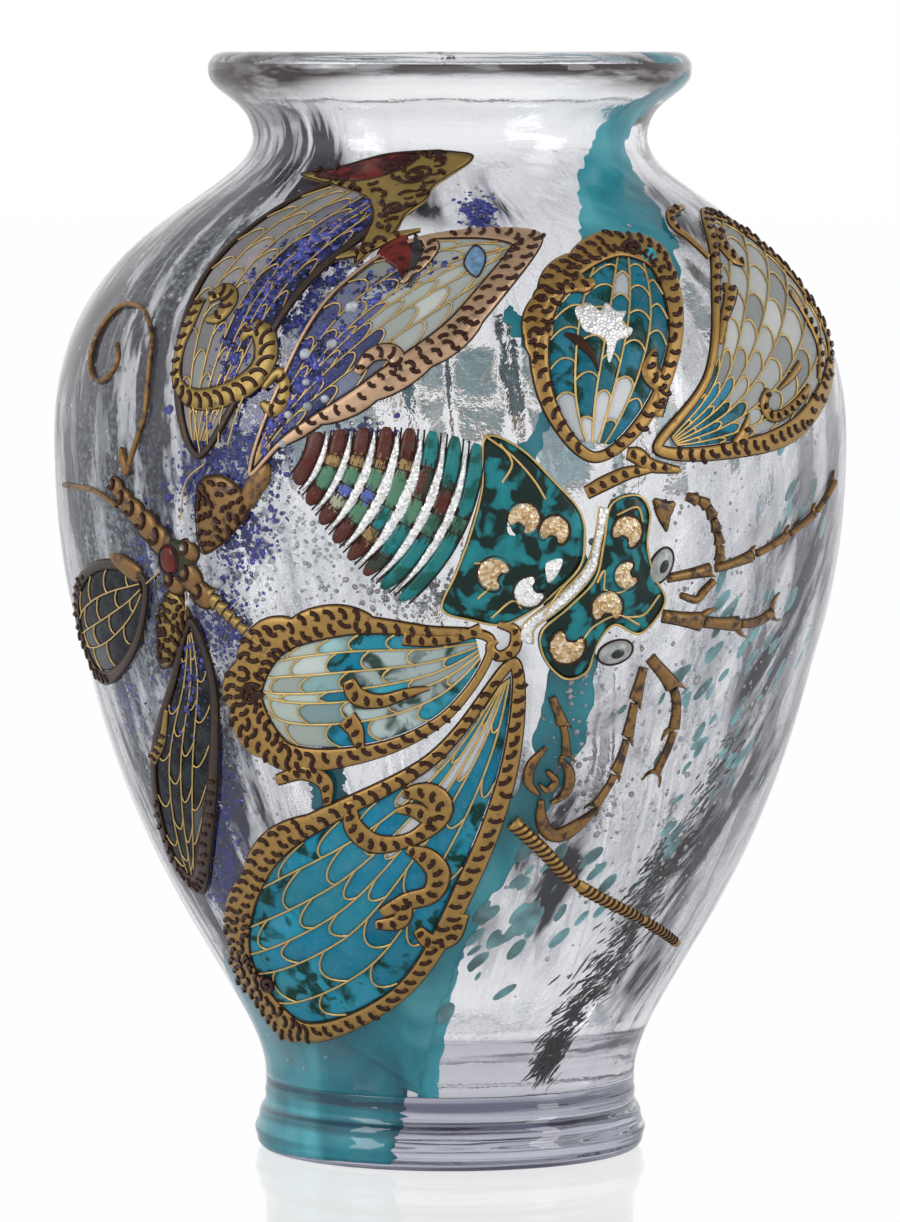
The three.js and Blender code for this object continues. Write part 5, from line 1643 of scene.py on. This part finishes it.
for number, outline in enumerate(([(9, -5.5), (14, -4.2), (19, -7), (21, -11), (17.5, -15.5), (12.5, -19.5),
                                   (8.4, -20.6), (7.4, -15), (7.6, -9.5)],
                                  [(-2.2, -29.2), (1.2, -31), (2.2, -35), (-1.2, -40), (-5.6, -45.6),
                                   (-9, -46.2), (-8.4, -41), (-6.4, -34.5)]), 1):
    piece(f"blue_moth_scrolled_petal_{number}", *cushion(BLUE, outline, 0, 0.95, 0.25, rings=7, count=80),
          petal_gold if number == 1 else bronze_gold, "gilding", [f"blue_moth_petal_{number}"])
    rims.append(outline_wire(BLUE, outline, 0.8, 0.0, 90))
    centre = np.mean(outline, axis=0)
    edge = looped(outline)(np.arange(15) / 15)
    for share, step in ((0.80, 1), (0.52, 2), (0.26, 4)):
        for number_round, spot in enumerate(edge[::step]):
            spots.append(comma(BLUE, centre + (spot - centre) * share,
                               number_round * step * 24 + 40 * number, 1.7, 1.06 + 0.25 * (1 - share)))
small_petals = [cushion(BLUE, outline, 0.1, 0.9, 0.2, rings=6, count=60) for outline in (
    [(18.5, -9), (21.5, -4), (25.4, -1.5), (26, -4.6), (23, -9), (20, -12)],
    [(-11, -25), (-17, -22.5), (-22.5, -22.8), (-18, -26), (-12.5, -28)],
    [(-14.6, -5.5), (-16.4, -2), (-16, 0.5), (-14.6, -0.5), (-13.2, -4)])]
piece("blue_moth_small_petals", *joined(small_petals), petal_gold, "gilding")
tail_shapes, tail_rims = jointed_limb(BLUE, [(8, -29), (12.5, -33), (17.5, -37.6), (22, -41.6)],
                                      [4.6, 3.2, 2.6, 1.6], 9, 0, 4)
piece("blue_moth_banded_tail", *joined(tail_shapes), bronze_gold, "brown_gilding", ["blue_moth_abdomen"])
rims += tail_rims

# Crushed blue glass lies thick over the heart of the wings.
grain_pick = np.random.default_rng(61)
grain_at, grain_out, grain_way = [], [], []
for wing, count, middle_c, spread_c, middle_t, spread_t in ((blue_upper, 1500, 0.66, 0.14, 0.56, 0.20),
                                                            (blue_right, 1100, 0.42, 0.22, 0.25, 0.12),
                                                            (blue_right, 260, 0.22, 0.08, 0.66, 0.08),
                                                            (blue_lower, 200, 0.5, 0.25, 0.20, 0.12)):
    c = np.clip(grain_pick.normal(middle_c, spread_c, count), 0.03, 0.97)
    t = np.clip(grain_pick.normal(middle_t, spread_t, count), 0.06, 0.96)
    place = wing.field(c, t)
    out, ahead = wall_directions(BLUE, place[:, 0], place[:, 1], grain_pick.uniform(0, 180, count))
    grain_at.append(laid(BLUE, place, grain_pick.uniform(0.35, 0.62, count)))
    grain_out.append(out)
    grain_way.append(ahead)
count = sum(len(at) for at in grain_at)
size = grain_pick.gamma(2.0, 0.12, count) + 0.16
stones("blue_moth_blue_grains", np.vstack(grain_at), np.vstack(grain_out), np.vstack(grain_way),
       np.column_stack([size * 1.2, size, size * 0.6]),
       plain_finish("blue grains on the wings", (0.012, 0.020, 0.19), 0.15, grain=500.0, spread=0.9),
       1)

# Blue and silver beads of glass are set round the body.
beads = []
for x, y, size in ((6.4, -17.6, 1.1), (3.6, -20, 0.9), (9.4, -24.2, 0.9), (11.8, -27, 1.1), (-5.6, -24, 0.8),
                   (14.4, -24.4, 0.8), (3.6, -31.4, 0.9), (30, 8.6, 0.9), (34, 10.4, 1.0), (37.6, 12, 0.9),
                   (31.4, 21.4, 1.2), (36.6, 23.6, 1.1), (33, 15.4, 0.8), (38, 32, 1.4), (29, 2.6, 0.8)):
    beads.append(cushion(BLUE, oval(size, size, 10, centre=(x, y)), 0.3, 0.9, 0.7, rings=5, count=20))
piece("blue_moth_glass_beads", *joined(beads),
      plain_finish("silver bead enamel", (0.52, 0.55, 0.60), 0.10, glow=0.2, grain=700.0, spread=0.3),
      "foil_jewel")

# Two feelers: one winds into a spiral, one runs straight to the left.
feelers = [([(-14, -5), (-11, 1), (-8, 8), (-8.5, 17), (-10, 24), (-14.5, 29), (-20, 31.4), (-27, 31),
             (-32, 27), (-34, 21), (-32, 16), (-27.5, 14), (-22.5, 15.6), (-20.5, 19), (-22.5, 22.4)],
            1.0, 0.5),
           ([(-18, -12), (-24, -10), (-30, -9), (-38, -9), (-46, -9)], 0.95, 0.6)]
for number, (path, start, end) in enumerate(feelers, 1):
    line = along_path(path, 90 if number == 1 else 30)
    thick = np.linspace(start, end, len(line))
    wires(f"blue_moth_feeler_{number}", [(laid(BLUE, line, 0.35), thick)], 0.62, brown_gold,
          sides=8, stands_for=[f"blue_moth_antenna_{number}"])

# Gilded rays at the wings' roots, and all the lines and painted spots of this moth.
rays = [open_wire(BLUE, path, 0.75) for path in (
    [(9, 0), (7, 8), (5, 14)], [(11, 1), (10.4, 8), (9.6, 12)], [(13.5, 1.5), (14, 8), (15, 14)],
    [(16, 2), (18, 9), (20, 15)], [(10, -2), (5, -6), (3, -14)], [(-9, -28), (-4, -25)],
    [(2, -34), (3, -29)])]
wires("blue_moth_gold_veins", fine_veins + rays, 0.20, wire_gold, sides=5)
wires("blue_moth_outlines", rims, 0.18, dark_line, sides=5)
wires("blue_moth_border_spots", spots, 0.52, brown_spots, sides=6)

# ---- The twig ----
# A gilded twig below the moths, twisted like rope and painted with dark slanting stripes.

twig_path = [(-2.5, -79), (4, -85.2), (14, -95), (30, -104), (47, -113)]
twig_line = along_path(twig_path, 120)
ahead = unit(np.gradient(twig_line, axis=0))
twig_side = beside(ahead)
twig_share = np.linspace(0, 1, 120)
half_width = np.linspace(1.6, 1.15, 120) * (1 - 0.28 * np.exp(-((twig_share - 0.36) / 0.02) ** 2)
                                            - 0.28 * np.exp(-((twig_share - 0.70) / 0.02) ** 2))
bend = np.radians(np.linspace(-20, 200, 17))
twist = 0.13 * np.sin(np.linspace(0, 40 * 2 * np.pi, 120)[:, None] + bend[None, :] * 2)
across_twig = np.cos(bend)[None, :] * (half_width[:, None] + twist)
rise_twig = np.maximum(SINK, 0.25 + np.sin(bend)[None, :] * (half_width[:, None] * 0.9 + twist))
spread_place = twig_line[:, None, :] + twig_side[:, None] * across_twig[..., None]
seat_reach = np.cos(bend)[None, :] * half_width[:, None] * 0.9
seat_place = twig_line[:, None, :] + twig_side[:, None] * seat_reach[..., None]
piece("twisted_gold_twig", *slab(laid(LARGE, spread_place, rise_twig), laid(LARGE, seat_place, SINK)),
      border_gold, "gilding", ["twig"])
TWIG_KNOTS = (43, 84)
stripes = []
for k in range(3, 117, 3):
    if min(abs(k - knot) for knot in TWIG_KNOTS) < 3:
        continue
    share = np.linspace(-0.92, 0.92, 9)
    place = twig_line[k] + twig_side[k] * half_width[k] * share[:, None] + ahead[k] * share[:, None] * 0.7
    lift = 0.25 + half_width[k] * 0.92 * np.sqrt(1 - share**2)
    stripes.append((laid(LARGE, place, lift), 0.5 + 0.6 * np.sqrt(1 - share**2)))
for k in TWIG_KNOTS:
    share = np.linspace(-0.9, 0.9, 9)
    place = twig_line[k] + twig_side[k] * half_width[k] * share[:, None]
    lift = 0.25 + half_width[k] * 0.9 * np.sqrt(1 - share**2)
    stripes.append((laid(LARGE, place, lift), np.full(9, 2.2)))
wires("twig_stripes", stripes, 0.32, brown_spots, sides=5)

# ---- The dragonfly ----
# A slender dragonfly rests on the back: a banded gilded tail, a dark thorax and four clear veined wings.

BACK = 180
dragonfly_parts = []
for name, crown, outline in (
        ("head", 0.5, [(0, 27.4), (4.2, 25.6), (5.4, 22), (3.2, 18.8), (-3.2, 18.8), (-5.4, 22),
                       (-4.2, 25.6)]),
        ("thorax", 0.6, [(0, 17.4), (3.6, 15.8), (5, 9), (3.4, 2.2), (0, 0.6), (-3.4, 2.2), (-5, 9),
                         (-3.6, 15.8)])):
    piece(f"dragonfly_enamel_{name}", *cushion(BACK, outline, 0, 1.25, crown, rings=8, count=70), dark_teal,
          "dark_green_enamel", [f"dragonfly_{name}"])
    dragonfly_parts.append(outline_wire(BACK, outline, 0.9, 0.05, 90))
dragonfly_parts += [open_wire(BACK, path, 1.75) for path in (
    [(-2.6, 14), (0, 12), (2.6, 14)], [(-3.4, 9), (0, 7), (3.4, 9)], [(-2.6, 4.6), (0, 3), (2.6, 4.6)],
    [(0, 26), (0, 20)])]
tail_shapes, tail_rims = jointed_limb(BACK, [(0, 0.4), (0, -20), (2, -42), (7, -60)], [5, 3.8, 3.2, 2.4],
                                      10, 0, 6)
piece("dragonfly_banded_tail", *joined(tail_shapes), border_gold, "gilding", ["dragonfly_abdomen"])


def dragonfly_colours(c, t, own):
    colour = mixed((0.80, 0.85, 0.86), (0.52, 0.74, 0.77), own[..., 1] * np.clip(1.3 - t, 0, 1))
    return with_blotches(colour, own, 0 * t)


pale_enamel = enamel_finish("pale clear enamel", 0.10, 0.05, 0.92)
back_veins, back_rims = [], []
for pair, path in (("upper", [(7, 11), (20, 21), (44, 28), (60, 30), (66, 25), (58, 18), (40, 12), (20, 8)]),
                   ("lower", [(7, 5), (20, 4), (40, 2), (54, -3), (58, -10), (48, -16), (32, -13),
                              (16, -4)])):
    for side, hand in (("right", 1), ("left", -1)):
        outline = [(x * hand, y, 1.0 if k else 0.9) for k, (x, y) in enumerate(path)]
        if hand < 0:
            outline = [outline[0]] + outline[:0:-1]
        wing = Wing(f"dragonfly_{pair}_{side}_wing", BACK, outline, (0.42, 0.60))
        cells, veins = brick_cells([0, .25, .5, .75, 1], [0, .14, .27, .39, .50, .61, .72, .83, .92, 1],
                                   dragonfly_colours, 5)
        wing.enamel(cells, pale_enamel, "grey_enamel", [f"dragonfly_wing_{pair}_{side}"], grid=(64, 90),
                    height=0.55)
        wing.border(wire_gold, "gilding", [], count=160, height=0.8)
        back_veins += veins(wing)
        back_rims += wing.rim_lines(inner=None)
wires("dragonfly_gold_veins", back_veins + dragonfly_parts, 0.20, wire_gold, sides=5)
wires("dragonfly_outlines", back_rims + tail_rims, 0.16, dark_line, sides=5)

# ---- Floor, light and camera ----
# A plain white table and backdrop and two soft lamps. The camera is level with the lip and looks a little
# down at the belly.


def kinds_of_ray(add):
    """The kinds of ray, and whether one comes from the eye straight or through glass."""
    rays = add("ShaderNodeLightPath").outputs
    return rays, sums(add, "MAXIMUM", rays["Is Camera Ray"], rays["Is Transmission Ray"])


def plain_floor():
    made, add = nodes_of("white table")
    _, seen = kinds_of_ray(add)
    table = add("ShaderNodeBsdfDiffuse", {"Color": (0.86, 0.86, 0.87, 1)})
    white = add("ShaderNodeEmission", {"Color": (1, 1, 1, 1), "Strength": 1.0})
    lit = shared(add, sums(add, "MULTIPLY", seen, 0.95), table, white)
    gloss = add("ShaderNodeBsdfGlossy", {"Color": (1, 1, 1, 1), "Roughness": 0.05})
    sheen = sums(add, "MULTIPLY", add("ShaderNodeFresnel", {"IOR": 1.45}).outputs[0], 0.55)
    add("ShaderNodeOutputMaterial", {"Surface": shared(add, sheen, lit, gloss).outputs[0]})
    return made


table_mesh = bpy.data.meshes.new("table")
table_mesh.from_pydata([(-9, -9, 0), (9, -9, 0), (9, 9, 0), (-9, 9, 0)], [], [(0, 1, 2, 3)])
table_mesh.materials.append(plain_floor())
table_top = bpy.data.objects.new("table", table_mesh)
bpy.context.scene.collection.objects.link(table_top)

scene = bpy.context.scene
world = bpy.data.worlds.new("white room")
scene.world = world
world.use_nodes = True
world.node_tree.nodes.clear()
sky = adder(world.node_tree)
ROOM_LIGHT = 0.72
rays, seen = kinds_of_ray(sky)
mirrored = sums(sky, "MAXIMUM", seen, rays["Is Glossy Ray"])
direction = sky("ShaderNodeSeparateXYZ", {0: sky("ShaderNodeTexCoord").outputs["Generated"]})
ceiling = ranged(sky, direction.outputs["Z"], 0.35, 0.75, 1.0, 0.32)
bright = ranged(sky, mirrored, 0.0, 1.0, ROOM_LIGHT, 1.0)
room = sums(sky, "MULTIPLY", sums(sky, "MULTIPLY", ceiling, mirrored), bright)
soft = sums(sky, "MULTIPLY", sums(sky, "SUBTRACT", 1.0, mirrored), ROOM_LIGHT)
backdrop = sky("ShaderNodeBackground", {"Color": (1, 1, 1, 1), "Strength": sums(sky, "ADD", room, soft)})
sky("ShaderNodeOutputWorld", {"Surface": backdrop.outputs[0]})


def lamp(name, place, aim, size, power):
    light = bpy.data.lights.new(name, "AREA")
    light.shape = "RECTANGLE"
    light.size, light.size_y = size
    light.energy = power
    holder = bpy.data.objects.new(name, light)
    holder.location = place
    reach = np.array(aim) - np.array(place)
    holder.rotation_euler = (math.atan2(math.hypot(reach[0], reach[1]), -reach[2]), 0,
                             math.atan2(-reach[0], reach[1]))
    bpy.context.scene.collection.objects.link(holder)


lamp("left window", (-1.1, -0.8, 0.75), (0, 0, 0.14), (0.5, 1.0), 7.0)
lamp("right window", (1.2, -0.6, 0.6), (0, 0, 0.14), (0.35, 1.0), 4.5)

camera_data = bpy.data.cameras.new("camera")
camera_data.sensor_fit = "VERTICAL"
camera_data.sensor_height = 36.0
camera_data.lens = 219.1
camera_data.clip_start = 0.05
camera = bpy.data.objects.new("camera", camera_data)
camera.location = (0, -1.625, 0.240)
camera.rotation_euler = (math.radians(90 - 4.302), 0, 0)
scene.collection.objects.link(camera)
scene.camera = camera

scene.view_settings.view_transform = "Standard"
scene.cycles.max_bounces = 20
scene.cycles.transmission_bounces = 20
scene.cycles.transparent_max_bounces = 24
scene.cycles.glossy_bounces = 6
scene.cycles.diffuse_bounces = 3
scene.cycles.caustics_reflective = False
scene.cycles.caustics_refractive = False
